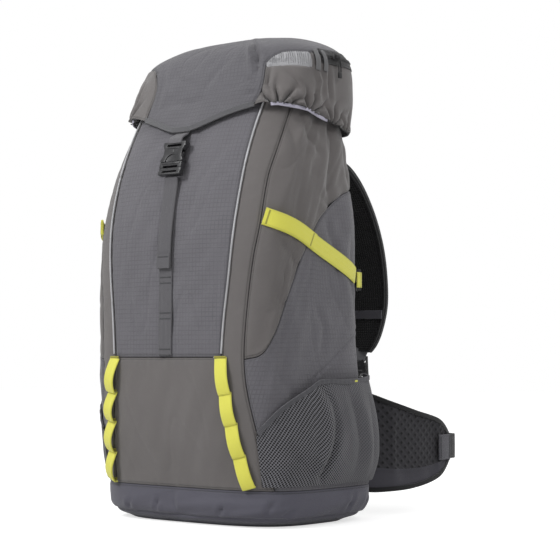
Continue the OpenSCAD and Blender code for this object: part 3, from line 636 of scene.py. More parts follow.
class Soft:
    """Collects grids of points (millimetres) into one mesh with cloth coordinates (metres)."""

    def __init__(self):
        self.points, self.faces, self.cloth, self.edges, self.paint = [], [], [], [], []
        self.count = 0

    def add(self, points, faces, cloth, edges, corners, paint=0):
        self.points.append(points.reshape(-1, 3))
        self.faces.append(faces + self.count)
        self.cloth.append(cloth.reshape(-1, 2)[corners.ravel()] * MM)
        self.edges.append(edges.reshape(-1, 2)[corners.ravel()] * MM)
        self.paint.append(full(len(faces), paint))
        self.count += points.reshape(-1, 3).shape[0]

    def grid(self, points, cloth=None, edges=None, wrap=False, paint=0, flip=False):
        rows, cols = points.shape[:2]
        j, i = meshgrid(arange(rows - 1), arange(cols if wrap else cols - 1), indexing="ij")
        wide = cols + 1 if wrap else cols
        if cloth is None:
            cloth = zeros((rows, wide, 2))

        def quads(width, following):
            return stack([j * width + i, j * width + following, (j + 1) * width + following,
                (j + 1) * width + i], -1).reshape(-1, 4)
        faces, corners = quads(cols, (i + 1) % cols), quads(wide, i + 1)
        if flip:
            faces, corners = faces[:, ::-1], corners[:, ::-1]
        if edges is None:
            edges = full(cloth.shape, 60.0)
        self.add(points, faces, cloth, edges, corners, paint)

    def shell(self, points, thick=1.6, wrap=False, inside=1, edges=None, lay=None):
        """A grid with a second skin behind it and a rim round its free edges."""
        lay = lay or Lay(points)
        normal = square_to(points, wrap)
        inner = points - normal * (thick if np.isscalar(thick) else thick[..., None])
        cloth = stack([lay.across, lay.along], -1)
        if edges is None:
            edges = stack([lay.side, lay.ends], -1)
        if wrap:
            step = np.linalg.norm(points[:, :1] - points[:, -1:], axis=-1)
            last = stack([lay.across[:, -1:] + step, lay.along[:, -1:]], -1)
            cloth, edges = concatenate([cloth, last], 1), concatenate([edges, edges[:, -1:]], 1)
        start = self.count
        self.grid(points, cloth, edges, wrap)
        self.grid(inner, cloth, edges * 0 + 60, wrap, inside, True)
        rows, cols = points.shape[:2]
        index = arange(rows * cols).reshape(rows, cols) + start
        loops = [index[0], index[-1][::-1]] if wrap else [concatenate([index[0, :-1], index[:-1, -1],
            index[-1, :0:-1], index[:0:-1, 0]])]
        for loop in loops:
            after = np.roll(loop, -1)
            other = loop + rows * cols
            faces = stack([loop, other, np.roll(other, -1), after], -1)
            flat = zeros((len(loop) * 4, 2))
            self.faces.append(faces)
            self.cloth.append(flat)
            self.edges.append(flat)
            self.paint.append(zeros(len(faces)))
        return self

    def make(self, name, body, paints, nodes=(), slot=None, weld=False, ride=True, sharp=50):
        faces = [f.tolist() for f in self.faces]
        mesh = bpy.data.meshes.new(name)
        mesh.from_pydata((concatenate(self.points) * MM).tolist(), [], sum(faces, []))
        for title, parts in (("cloth", self.cloth), ("edges", self.edges)):
            layer = mesh.uv_layers.new(name=title)
            layer.data.foreach_set("uv", concatenate(parts).astype(np.float32).ravel())
        for paint in paints:
            mesh.materials.append(PAINTS[paint])
        mesh.polygons.foreach_set("material_index", concatenate(self.paint).astype(np.int32))
        mesh.polygons.foreach_set("use_smooth", np.ones(len(mesh.polygons), bool))
        if weld:
            b = bmesh.new()
            b.from_mesh(mesh)
            bmesh.ops.remove_doubles(b, verts=b.verts, dist=0.00002)
            b.to_mesh(mesh)
            b.free()
        mesh.set_sharp_from_angle(angle=math.radians(sharp))
        piece = bpy.data.objects.new(name, mesh)
        bpy.context.collection.objects.link(piece)
        return settle(piece, body if ride else None, nodes)


def settle(piece, body, nodes=()):
    """Puts a piece on its CAD body, in place of the CAD nodes it stands for."""
    if body:
        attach(piece, body)
    if nodes:
        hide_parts(*nodes)
    return piece


def square_to(points, wrap=False):
    """Directions square to a grid of points, outwards when columns run round and rows run up."""
    if wrap:
        round_ = (np.roll(points, -1, 1) - np.roll(points, 1, 1)) / 2
    else:
        round_ = gradient(points, axis=1)
    n = cross(round_, gradient(points, axis=0))
    return n / maximum(np.linalg.norm(n, axis=-1, keepdims=True), 1e-9)


def raised(points, relief, wrap=False):
    return points + square_to(points, wrap) * relief[..., None]


def patch(table, left, right, low, high, step=3.0):
    """A grid between two side angles (by height) and two end heights (by share across).

    Each is a rule or a plain number."""
    left, right, low, high = (r if callable(r) else constant(r) for r in (left, right, low, high))
    middle = (low(0.5) + high(0.5)) / 2
    turn = abs(right(middle) - left(middle))
    cols = max(int(turn * 2.9 / step), 3)
    rows = max(int(max(abs(high(u) - low(u)) for u in (0.0, 0.5, 1.0)) / step), 3)
    u, v = meshgrid(linspace(0, 1, cols + 1), linspace(0, 1, rows + 1))
    z = low(u) + (high(u) - low(u)) * v
    angle = left(z) + (right(z) - left(z)) * u
    return skin(table, angle, z), angle, z


def constant(value):
    return lambda x: value + 0 * asarray(x, float)


def mirror(points):
    """The same grid on the left, with its columns reversed so that it still faces outwards."""
    return (points * array([-1, 1, 1]))[:, ::-1]


# ---- panels of the bag

GAP = 0.15  # degrees of air on each side of a seam
PER_DEGREE = 2.6  # millimetres of a side panel to one degree
# Folds of the side panels: line of (angle, height), depth, width
LOW_FOLDS = (([(90, 420), (98, 380), (101, 330)], 2.6, 6), ([(112, 400), (110, 340), (116, 290)], 2.6, 6),
    ([(58, 215), (66, 190), (70, 160)], 1.6, 5), ([(84, 300), (90, 270), (88, 235)], 1.8, 5))
HIGH_FOLDS = (([(96, 580), (97, 530), (92, 470), (95, 420)], 4.5, 6),
    ([(74, 568), (79, 535), (88, 505)], 3.0, 5), ([(66, 560), (70, 520), (71, 480)], 2.2, 5),
    ([(112, 560), (110, 500), (116, 440)], 4.0, 7), ([(60, 400), (70, 365), (76, 330)], 2.4, 6),
    ([(57, 340), (64, 300), (70, 275)], 2.0, 5), ([(84, 455), (92, 440), (104, 445)], 2.0, 5))


def side_seam(z):
    return read(SIDE_SEAM, z)


def under_straps(angle, z):
    """1 where the cloth is free, near 0 where a strap holds it down."""
    down = abs(z - read(STRAP_LINE, clip(abs(angle), 55.5, 116)))
    return 1 - exp(-(down / 17) ** 4) * (abs(angle) > 54) * (abs(angle) < 118)


def make_panel(name, node, grid, side, seed, paints, slot, relief=None, thick=1.6, **sewing):
    points, angle, z = grid
    lay = Lay(points)
    out = sewn(lay, seed, **sewing)
    if relief:
        out = relief(out, lay, angle, z)
    points = raised(points, out)
    if side < 0:
        points = mirror(points)
    Soft().shell(points, thick).make(name, "root", paints, [node], slot)


def make_bag():
    def left_strip(z):
        return GAP - strip_edge(z)

    def right_strip(z):
        return strip_edge(z) - GAP

    def front_relief(out, lay, angle, z):
        free = 1 - exp(-(abs(lay.across) / 15) ** 4)
        out = where(out > 0, out * (0.25 + 0.75 * free), out)
        out += creases(lay.across, z, (([(-70, 470), (-30, 430), (40, 380)], 0.8, 3.5),
            ([(85, 520), (50, 470), (30, 400)], 0.7, 4), ([(-90, 330), (-55, 290), (-10, 262)], 0.6, 3.5)))
        return out + 1.5 * bell(abs(lay.across) - 62, 40) * bell(z - 380, 120)

    make_panel("front_cloth", "front_panel", patch(BAG, left_strip, right_strip, FRONT_SEAM + 0.5, RIM), 1,
        11, ["ripstop", "inside"], "ripstop", front_relief, turn=0.9, fold=1.2, sharp=1.1)
    make_panel("front_lower_cloth", "front_lower_panel", patch(BAG, left_strip, right_strip,
        BASE_SEAM + 0.5, FRONT_SEAM - 0.5), 1, 21, ["taupe", "inside"], "taupe_cloth", turn=1.2, swell=2.6,
        fold=1.1, pucker=0.8)

    def held(out, lay, angle, z):
        x = angle * PER_DEGREE
        d, _ = near_line(x, z,
            [(a * PER_DEGREE, h) for a, h in ((82, 200), (95, 224), (107, 248), (120, 270))])
        out = out - 2.0 * bell(d, 1.5) + 0.7 * bell(d - 4, 2.2)
        out += creases(x, z, LOW_FOLDS, PER_DEGREE)
        return where(out > 0, out * under_straps(angle, z), out)

    def strip_relief(out, lay, angle, z):
        return where(out > 0, out * 0.35, out)

    def upper_relief(out, lay, angle, z):
        out = out + 3.0 * bell(angle - 80, 13) * bell(z - 500, 55)
        out += creases(angle * PER_DEGREE, z, HIGH_FOLDS, PER_DEGREE)
        return where(out > 0, out * under_straps(angle, z), out)

    for (side, word, _), seed in zip(SIDES, (31, 51)):
        make_panel(f"side_strip_cloth_{word}", f"side_strip_{word}",
            patch(BAG, lambda z: strip_edge(z) + GAP, lambda z: side_seam(z) - GAP, BASE_SEAM + 0.5, RIM,
            2.6), side, seed, ["taupe", "inside"], "taupe_cloth", strip_relief, size=40, pucker=0.6)
        make_panel(f"side_upper_cloth_{word}", f"side_upper_{word}",
            patch(BAG, lambda z: side_seam(z) + GAP, BACK_SEAM - GAP, lambda u: read(SIDE_CURVE, u) + 0.5,
            RIM), side, seed + 5, ["taupe", "inside"], "taupe_cloth", upper_relief, turn=1.3, swell=3.4,
            fold=1.7, sharp=1.2)
        make_panel(f"side_lower_cloth_{word}", f"side_lower_{word}",
            patch(BAG, lambda z: side_seam(z) + GAP, BACK_SEAM - GAP, BASE_SEAM + 0.5,
            lambda u: read(SIDE_CURVE, u) - 0.5), side, seed + 10, ["ripstop", "inside"], "ripstop", held,
            turn=1.0, swell=2.6, fold=1.4, sharp=1.0)

    make_panel("back_cloth", "back_panel", patch(BAG, BACK_SEAM + GAP, 360 - BACK_SEAM - GAP,
        BASE_SEAM + 0.5, RIM, 4), 1, 71, ["harness", "inside"], "harness_cloth",
        lambda out, lay, angle, z: minimum(out, 0.3), swell=0.8)
    make_base()


def make_base():
    """The base: a tray of tougher cloth, turned up to its seam."""
    angles = arange(0, 360, 1.6)
    heights = concatenate([[0.2, 1.0, 2.4, 4, 6, 8], linspace(9, 16, 11), linspace(18, BASE_SEAM, 16)])
    shrink = concatenate([linspace(0.02, 0.94, 20), [0.965, 0.985]])
    foot = skin(BAG, angles, 0.0)
    centre = array([0, 18, 0])
    flat = [centre + (foot - centre) * k for k in shrink]
    points = stack(flat + [skin(BAG, angles, h) for h in heights])
    lay = Lay(points)
    up = points[..., 2]
    edge = maximum(BASE_SEAM - up, 0)
    x = lay.across
    out = soft_noise(x, up * 2, 60, 91) * 2.2 + soft_noise(x, up * 2, 22, 92, 3, 0.2) * 1.0
    out *= grown(edge, 8) * clip(up / 14, 0, 1)
    for angle, low, high in ((30, 14, 30), (52, 16, 40), (60, 14, 26), (98, 14, 42), (112, 16, 38),
            (-18, 16, 34), (-38, 14, 30), (-96, 14, 38)):
        span = (where(angles > 180, angles - 360, angles) - angle)[None, :] * 2.9
        out += crease(span + 0 * up, up, [(0, low), (9, high)], 3.2, 3.0)
    ledge = 1.6 * bell(up - 12, 1.3) - 1.2 * bell(up - 8, 3.0)
    out = out - 1.1 * bell(edge, 2) - ledge
    points = raised(points, out, True)
    points[..., 2] = maximum(points[..., 2], 0.0)
    edges = stack([full(edge.shape, 60.0), edge], -1)
    Soft().shell(points, 1.6, True, edges=edges, lay=lay).make("base_cloth_tray", "root",
        ["base", "inside"], ["base_panel"], "base_cloth")


def tube_points(route, radius, sides=10, closed=False):
    """Rings of points round a route (millimetres)."""
    route = asarray(route, float)
    way = unit(np.roll(route, -1, 0) - np.roll(route, 1, 0) if closed else gradient(route, axis=0))
    steep = abs(way[:, 2:]) > 0.95
    side = unit(where(steep, cross(way, [1.0, 0.02, 0.01]), cross(way, [0.01, 0.02, 1.0])))
    lift = cross(side, way)
    a = linspace(0, 2 * np.pi, sides, endpoint=False)
    ring = side[:, None] * cos(a)[None, :, None] + lift[:, None] * sin(a)[None, :, None]
    radius = broadcast_to(radius, (len(route),))
    return route[:, None] + ring * radius[:, None, None]


def close_ends(soft, points, cloth, paint, shares, flip):
    """Closes the first and last ring with smaller rings, down to a point in the middle."""
    for row in (0, -1):
        middle = points[row].mean(0)
        rings = stack([middle + (points[row] - middle) * k for k in shares])
        soft.grid(rings, repeat(cloth[row][None], len(shares), 0), None, True, paint, flip == (row == 0))


def add_tube(soft, route, radius, sides=10, closed=False, paint=0):
    points = tube_points(route, radius, sides, closed)
    if closed:
        points = concatenate([points, points[:1]])
    along = spans(points, 0)[:, :1]
    across = linspace(0, 2 * np.pi * np.max(radius), sides + 1)[None]
    cloth = stack(broadcast_arrays(across, along), -1)
    soft.grid(points, cloth, None, True, paint, True)
    if not closed:
        close_ends(soft, points, cloth * 0, paint, (1, 0.4, 0), False)


def smooth_route(points, step=2.0):
    """More points along a curve through the given ones."""
    p = asarray(points, float)
    length = concatenate([[0], np.cumsum(np.linalg.norm(diff(p[:, :3], axis=0), axis=1))])
    count = max(int(length[-1] / step), 4)
    table = np.column_stack([length, p])
    at = linspace(0, length[-1], count + 1)
    return stack([read(table, at, k + 1) for k in range(p.shape[1])], -1)


def add_strap(soft, route, facing, width, thick=1.8, paint=0, cup=0.0):
    """Flat webbing along a route, its face turned towards facing, with rounded edges."""
    route, facing = asarray(route, float), asarray(facing, float)
    way = unit(gradient(route, axis=0))
    side = unit(cross(way, broadcast_to(facing, route.shape)))
    face = cross(side, way)
    half, t = broadcast_to(width, (len(route),)) / 2, thick / 2
    flat = linspace(-1, 1, 9)
    ring = [(x, t) for x in flat] + [(1.0, 0.0)] + [(x, -t) for x in flat[::-1]] + [(-1.0, 0.0)]
    points = []
    for x, h in ring:
        inset = where(h == 0, 0, 0.5) * (abs(x) == 1)
        points.append(route + side * (x * (half - inset))[:, None] + face * (h - cup * x * x))
    points = stack(points, 1)
    across = array([x * np.max(half) for x, _ in ring] + [ring[0][0] * np.max(half)])
    along = spans(points, 0)[:, :1]
    cloth = stack(broadcast_arrays(across[None], along), -1)
    soft.grid(points, cloth, None, True, paint, True)
    close_ends(soft, points, cloth, paint, (1, 0), False)


def add_tack(soft, place, across, facing, length, width, paint=1, high=0.5):
    """A bar tack: a short ridge of close thread, lying across a strap."""
    across, facing = unit(asarray(across, float)), unit(asarray(facing, float))
    turn = cross(facing, across)
    u = linspace(-0.5, 0.5, max(int(length / 0.8), 6))
    v = linspace(-0.5, 0.5, 7)
    gu, gv = meshgrid(u, v)
    lift = high * clip(1 - (2 * abs(gv)) ** 2, 0, 1) ** 0.5 * (1 - (2 * abs(gu)) ** 12)
    lift = lift * (0.75 + 0.25 * cos(gu * length * 2 * np.pi / 1.6))
    points = (asarray(place, float) + across * (gu * length)[..., None] - turn * (gv * width)[..., None]
        + facing * (lift - 0.05)[..., None])
    soft.grid(points, stack([gv * width, gu * length], -1), None, False, paint, True)


def make_piping():
    soft = Soft()
    z = arange(234.0, 584, 4)
    for _, _, flip in SIDES:
        add_tube(soft, skin(BAG, strip_edge(z), z, 1.5) * flip, 1.3)
    soft.make("piping_cord", "root", ["piping"], ["piping"], "silver_piping")


# ---- straps on the bag

def make_chains():
    """Daisy chains: webbing tacked flat at intervals, its loops hanging over the tacks."""
    tacks = [228, 181, 140, 97, 55]
    for side, word, flip in SIDES:
        soft = Soft()
        route, facing = [], []
        for k in range(4):
            u = linspace(0, 1, 24, endpoint=k == 3)
            sag = clip(u / 0.9, 0, 1) ** 1.0 * (1.04 - 0.04 * clip((u - 0.9) / 0.1, 0, 1))
            z = tacks[k] + (tacks[k + 1] - tacks[k]) * sag
            out = outward_at(BAG, strip_edge(z), z)
            lift = 1.6 + (5.0 if side > 0 else 9.5) * sin(np.pi * u ** 1.25) ** 0.8
            route.append((skin(BAG, strip_edge(z), z) + out * lift[:, None]) * flip)
            facing.append(out * flip)
        add_strap(soft, concatenate(route), concatenate(facing), 20, 1.8, 0, 0.4)
        for k, z in enumerate(tacks):
            out = outward_at(BAG, strip_edge(z), z)
            place = (skin(BAG, strip_edge(z), z) + out * 2.9) * flip
            across = cross(out * flip, [0, 0, 1])
            add_tack(soft, place + array([0, 0, 1.2]), across, out * flip, 19.4, 3.2, 1, 0.9)
        soft.make(f"daisy_chain_web_{word}", "root", ["lime", "olive_thread"], [f"daisy_chain_{word}"],
            "lime_webbing")


def make_front_straps():
    """The anchor strap sewn up the middle of the front, and the free tail over it."""
    soft = Soft()
    z = arange(232.0, 474, 3)
    add_strap(soft, skin(BAG, 0, z, 1.5), [0, -1, 0], 25, 1.8, 0, 0.2)
    for height in (236, 286, 335):
        place = skin(BAG, 0, height, 2.5)
        for lift in (-4, 4):
            add_tack(soft, place + array([0, 0, lift]), [1, 0, 0], [0, -1, 0], 21, 2.2, 1)
    soft.make("anchor_strap_web", "root", ["grey_web", "dark_thread"], ["front_anchor_strap"], "grey_webbing")

    soft = Soft()
    z = arange(351.0, 463, 3)
    wave = 0.6 * sin((z - 351) / 19)
    top = array([[0, -124.6, 470], [0, -125.2, 478]])
    route = concatenate([skin(BAG, 0, z, 5.0 + wave), top])
    add_strap(soft, smooth_route(route, 2.5), [0, -1, 0], 25, 1.8, 0, 0.2)
    z = arange(351.5, 372, 2.5)
    add_strap(soft, skin(BAG, 0, z, 6.9), [0, -1, 0], 25, 1.6, 0)
    add_tack(soft, skin(BAG, 0, 367, 7.7), [1, 0, 0], [0, -1, 0], 21, 2.2, 1)
    soft.make("strap_tail_web", "front_strap", ["grey_web", "dark_thread"], ["strap_tail"], "grey_webbing")


def make_compression():
    def line_at(angle):
        return skin(BAG, angle, read(STRAP_LINE, angle))

    for side, word, flip in SIDES:
        soft = Soft()
        angle = linspace(56.0, 114, 60)
        out, base = outward_at(BAG, angle, read(STRAP_LINE, angle)), line_at(angle)
        add_strap(soft, (base + out * 2.4) * flip, out * flip, 24, 1.8, 0, 0.3)
        overlap = angle < 82
        add_strap(soft, ((base + out * 4.3) * flip)[overlap], (out * flip)[overlap], 23.4, 1.6, 0, 0.3)
        for a in (57.5, 79.5):
            out = outward_at(BAG, a, read(STRAP_LINE, a))
            slope = line_at(a + 1) - line_at(a - 1)
            add_tack(soft, (line_at(a) + out * 5.1) * flip, cross(slope * flip, out * flip), out * flip, 20,
                2.4, 1)
        soft.make(f"compression_web_{word}", "root", ["lime", "lime_thread"], [f"compression_strap_{word}"],
            "lime_webbing")


# ---- side pockets

POCKET_FRONT, POCKET_REACH, POCKET_FOOT = 50, 77, 56  # first angle, angle across, height of the foot
POCKET_BACK = POCKET_FRONT + POCKET_REACH


def pocket_stand(u, v):
    """How far the filled-out pocket stands off the side."""
    low = sin(radians(180 * minimum(v + 0.02, 0.5))) ** 0.8
    slack = 1 - 0.40 * clip((asarray(u) - 0.5) / 0.5, 0, 1) ** 1.4
    return 1 + 24 * slack * sin(radians(90 * minimum(u * 1.5, 1))) ** 1.3 * where(v < 0.5, low,
        1 - 0.35 * (2 * v - 1) ** 2)


def make_pockets():
    for side, word, flip in SIDES:
        u, v = meshgrid(linspace(0, 1, 120), linspace(0, 1, 66))
        angle = POCKET_FRONT + POCKET_REACH * u
        mouth = read(POCKET_MOUTH, angle)
        z = POCKET_FOOT + (mouth - POCKET_FOOT) * v
        points = skin(BAG, angle, z, pocket_stand(u, v) + 0.8)
        lay = Lay(points)
        x = angle * 2.7
        out = soft_noise(x, z, 34, 101, 4.0, 1.45) * 1.6 + soft_noise(x, z, 16, 102, 3.0, 1.2) * 0.6
        # the filled part in front ends in a deep fold, with two softer ones behind it
        fold_x = 2.7 * read([[56, 76.5], [67, 75.5], [102, 82.5], [136, 86], [168, 85], [193, 80]], z)
        behind = x - fold_x
        depth = clip(1.15 - abs(z - 88) / 105, 0.1, 1)
        out += depth * (5.0 * bell(behind + 9, 8) - 9.5 * bell(behind - 3.5, 4.5))
        out += 2.4 * bell(x - 286, 9) + creases(x, z, (([(262, 66), (272, 110), (270, 150), (264, 190)],
            4.0, 6), ([(300, 70), (306, 120), (304, 185)], 3.6, 8), ([(200, 62), (178, 90), (160, 112)],
            1.8, 7)))
        out *= grown(lay.side, 14) * grown(z - POCKET_FOOT, 12) * (1 - 0.55 * v**6)
        points = raised(points, maximum(out, -pocket_stand(u, v) + 1.6))
        if side < 0:
            points = mirror(points)
        soft = Soft()
        soft.shell(points, 0.9, inside=0)
        # the back edge runs in to the bag
        v1 = linspace(0, 1, 40)
        z1 = POCKET_FOOT + (read(POCKET_MOUTH, POCKET_BACK) - POCKET_FOOT) * v1
        rows = [skin(BAG, POCKET_BACK + 0.8 * k, z1, (pocket_stand(1, v1) + 0.8) * (1 - k) + 0.6 * k)
            for k in linspace(0, 1, 10)]
        edge = stack(rows, 1)
        soft.shell(mirror(edge) if side < 0 else edge, 0.9, inside=0)
        net = soft.make(f"pocket_net_{word}", "root", ["net", "net"], [f"mesh_pocket_{word}"],
            "pocket_mesh", sharp=60)
        wide, tall = spans(points, 1)[:, -1].max(), spans(points, 0)[-1].max()

        soft = Soft()
        u = linspace(0.01, 1, 90)
        a = POCKET_FRONT + POCKET_REACH * u
        top = read(POCKET_MOUTH, a)
        gather = 0.35 * sin(arange(90) * 1.9)
        route = skin(BAG, a, top + 1.5, pocket_stand(u, 1.0) + 0.9 + gather) * flip
        facing = outward_at(BAG, a, top) * flip
        add_strap(soft, route, facing, 7, 2.6, 0)
        tack = 62
        add_tack(soft, route[tack] + facing[tack] * 1.4, route[tack + 1] - route[tack], facing[tack], 9,
            2.6, 1, 0.8)
        soft.make(f"pocket_hem_{word}", "root", ["net_band", "lime"], ["pocket_hems"], "black_trim")


# ---- lid

FRONT_CORNER = {1: [[545, 40], [575, 47], [602, 50], [634, 51], [641, 53]],
    -1: [[545, 34], [575, 38], [601, 37.5], [619, 39], [632, 42.5], [641, 46]]}
CORNER_RISE = {1: [[53, 641], [56, 646], [60, 650.5], [66, 652], [100, 652]],
    -1: [[46, 641], [49, 646], [53, 650.5], [60, 652], [100, 652]]}
LID_SIDE_END = 112


def lid_edge(angle):
    return read(LID_EDGE, abs(angle))


def dome_foot(angle):
    a = abs(angle)
    right = where(a <= 53, 641.0, read(CORNER_RISE[1], clip(a, 53, 100)))
    left = where(a <= 46, 641.0, read(CORNER_RISE[-1], clip(a, 46, 100)))
    return where(angle >= 0, right, left)


def lid_swell(points, angle, rise):
    """Folds of the lid cloth, by place, so that they run on from one part to the next."""
    x, y = points[..., 0] + 0.25 * points[..., 2], points[..., 1] + points[..., 2]
    out = soft_noise(x, y, 75, 131) * 2.2 + soft_noise(x, y, 26, 132, 3.2, 0.75) * 0.9
    out -= clip(1 - abs(soft_noise(x, y, 60, 133, 2.4, 1.2)) * 10, 0, 1) ** 2 * 0.9
    front = rise < 0.6
    return out + front * creases(angle * 2.2, points[..., 2], (([(99, 676), (101, 655), (102, 636),
        (104, 612)], 8.5, 3.6), ([(90, 672), (92, 650), (95, 632)], -4.2, 4.6),
        ([(86, 618), (100, 606), (111, 594)], 3.2, 3.2), ([(92, 590), (103, 592), (112, 596)], 2.4, 3.0),
        ([(-98, 660), (-76, 625), (-72, 600), (-70, 580)], 2.2, 4.0),
        ([(-70, 650), (-40, 625), (0, 612)], 1.5, 5.0), ([(-60, 600), (-20, 585), (30, 590)], 1.2, 5.0),
        ([(70, 655), (40, 630), (20, 600)], 1.3, 5.0)))


def make_lid():
    span = linspace(-1, 1, 90)
    z = linspace(0, 1, 34)[:, None]
    ease = (span + 1) / 2
    low = lid_edge(-38 * (1 - ease) + 47 * ease)[None]
    height = low + (641 - low) * z
    angle = ease * read(FRONT_CORNER[1], height) - (1 - ease) * read(FRONT_CORNER[-1], height)
    front = skin(LID, angle, height)
    soft = Soft()
    top_angles = 53 * ease - 46 * (1 - ease)
    rest = concatenate([linspace(53, 80, 30)[1:], linspace(80, 280, 110)[1:], linspace(280, 314, 36)[1:-1]])
    round_ = concatenate([top_angles, rest])
    signed = where(round_ > 180, round_ - 360, round_)
    v = concatenate([[0, 0.012, 0.03], linspace(0.05, 0.985, 40)])[:, None]
    foot = dome_foot(signed)[None]
    rise = foot + (688 - foot) * (1 - (1 - v) ** 1.7)
    dome = skin(LID, round_[None], rise)
    close = clip((v - 0.80) / 0.185, 0, 1) ** 1.5
    hub = array([0, 38, 689.0])
    dome = dome + (hub - dome) * close[..., None] * array([0.985, 0.985, 0.9])

    free_dome = ((signed > 53) | (signed < -46))[None]
    down = spans(dome, 0)
    edge_front = minimum(Lay(front).side, spans(front, 0))
    fade = clip(minimum(53 - signed, signed + 46)[None] * 2.2, 0, 60)
    seam = where(free_dome, down, hypot(down, fade) + 0 * down)
    relief_front = lid_swell(front, angle, 0 * angle)
    relief_dome = lid_swell(dome, signed[None] + 0 * rise, close + 0 * rise) * (1 - close)
    relief_front = relief_front * grown(edge_front, 16) - 0.9 * bell(edge_front, 1.8)
    relief_dome = relief_dome * grown(seam, 16) - 0.9 * bell(seam, 1.8)
    relief_dome[0, :90] = relief_front[-1]
    mixed = exp(-down[:, :90] / 5)
    relief_dome[:, :90] = relief_dome[:, :90] * (1 - mixed) + relief_front[-1][None] * mixed
    front_n, dome_n = square_to(front), square_to(dome, True)
    join = front_n[-1] + dome_n[0, :90]
    join /= np.linalg.norm(join, axis=-1, keepdims=True)
    front_n[-1], dome_n[0, :90] = join, join
    front = front + front_n * relief_front[..., None]
    dome = dome + dome_n * relief_dome[..., None]

    lay = Lay(front)
    # the weave is level: it is measured from the middle and from one height, not from the curved hem
    along = spans(front, 0) + low - 545
    cloth = stack([lay.across - lay.across[:, 45:46], along], -1)
    hem = minimum(lay.side, 60)
    soft.grid(front, cloth, stack([hem, along], -1))
    inner_f = front - front_n * 1.6
    inner_d = dome - dome_n * 1.6
    inner_d[0, :90] = inner_f[-1]
    soft.grid(inner_f, cloth, None, paint=1, flip=True)
    # the cover is one cloth: its weave runs on from the front over the top
    back_column = int(np.argmin(abs(round_ - 180)))
    ridge = concatenate([dome[:, 45], dome[::-1, back_column]])
    run = concatenate([[0], np.cumsum(np.linalg.norm(diff(ridge, axis=0), axis=1))])
    order = np.argsort(ridge[:, 1])
    x_d, y_d = dome[..., 0], dome[..., 1]
    seam_x = front[-1, :, 0]
    near_x = clip(x_d, seam_x[0], seam_x[-1])
    seam_run = interp(interp(near_x, seam_x, front[-1, :, 1]), ridge[order, 1], run[order])
    over = interp(y_d, ridge[order, 1], run[order]) - seam_run
    cloth_d = stack([interp(near_x, seam_x, cloth[-1, :, 0]) + x_d - near_x,
        interp(near_x, seam_x, along[-1]) + over], -1)
    cloth_d = concatenate([cloth_d, cloth_d[:, :1]], 1)
    edges_d = stack([seam, 60 + 0 * seam], -1)
    edges_d = concatenate([edges_d, edges_d[:, :1]], 1)
    soft.grid(dome, cloth_d, edges_d, True)
    soft.grid(inner_d, cloth_d, edges_d * 0 + 60, True, 1, True)
    rim = stack([front[0], inner_f[0]])
    soft.grid(rim, flip=True)
    for column, turn in ((0, False), (-1, True)):
        rim = stack([front[:, column], inner_f[:, column]])
        soft.grid(rim, flip=turn)
    outer = concatenate([dome[0, 89:], dome[0, :1]])
    inner = concatenate([inner_d[0, 89:], inner_d[0, :1]])
    soft.grid(stack([outer, inner]), flip=True)
    hub_ring = stack([dome[-1], repeat(dome[-1].mean(0)[None], dome.shape[1], 0)])
    soft.grid(hub_ring, repeat(cloth_d[-1][None], 2, 0), None, True)
    hub_ring = hub_ring - array([0, 0, 1.6])
    soft.grid(hub_ring, repeat(cloth_d[-1][None], 2, 0), None, True, 1, True)
    soft.make("lid_cover_cloth", "lid", ["lid_ripstop", "inside"], ["lid_cover"], "ripstop", weld=True)

    # piped lower edge of the front
    soft = Soft()
    a = linspace(-38, 47, 110)
    route = skin(LID, a, lid_edge(a) + 1.5, 0.2)
    add_strap(soft, route, outward_at(LID, a, lid_edge(a)), 8, 2.8, 0)
    soft.make("lid_front_binding", "lid", ["lid_binding"], ["lid_cover"], "grey_webbing")
    for side, word, flip in SIDES:
        make_lid_side(side, word, flip)
    make_lid_back()


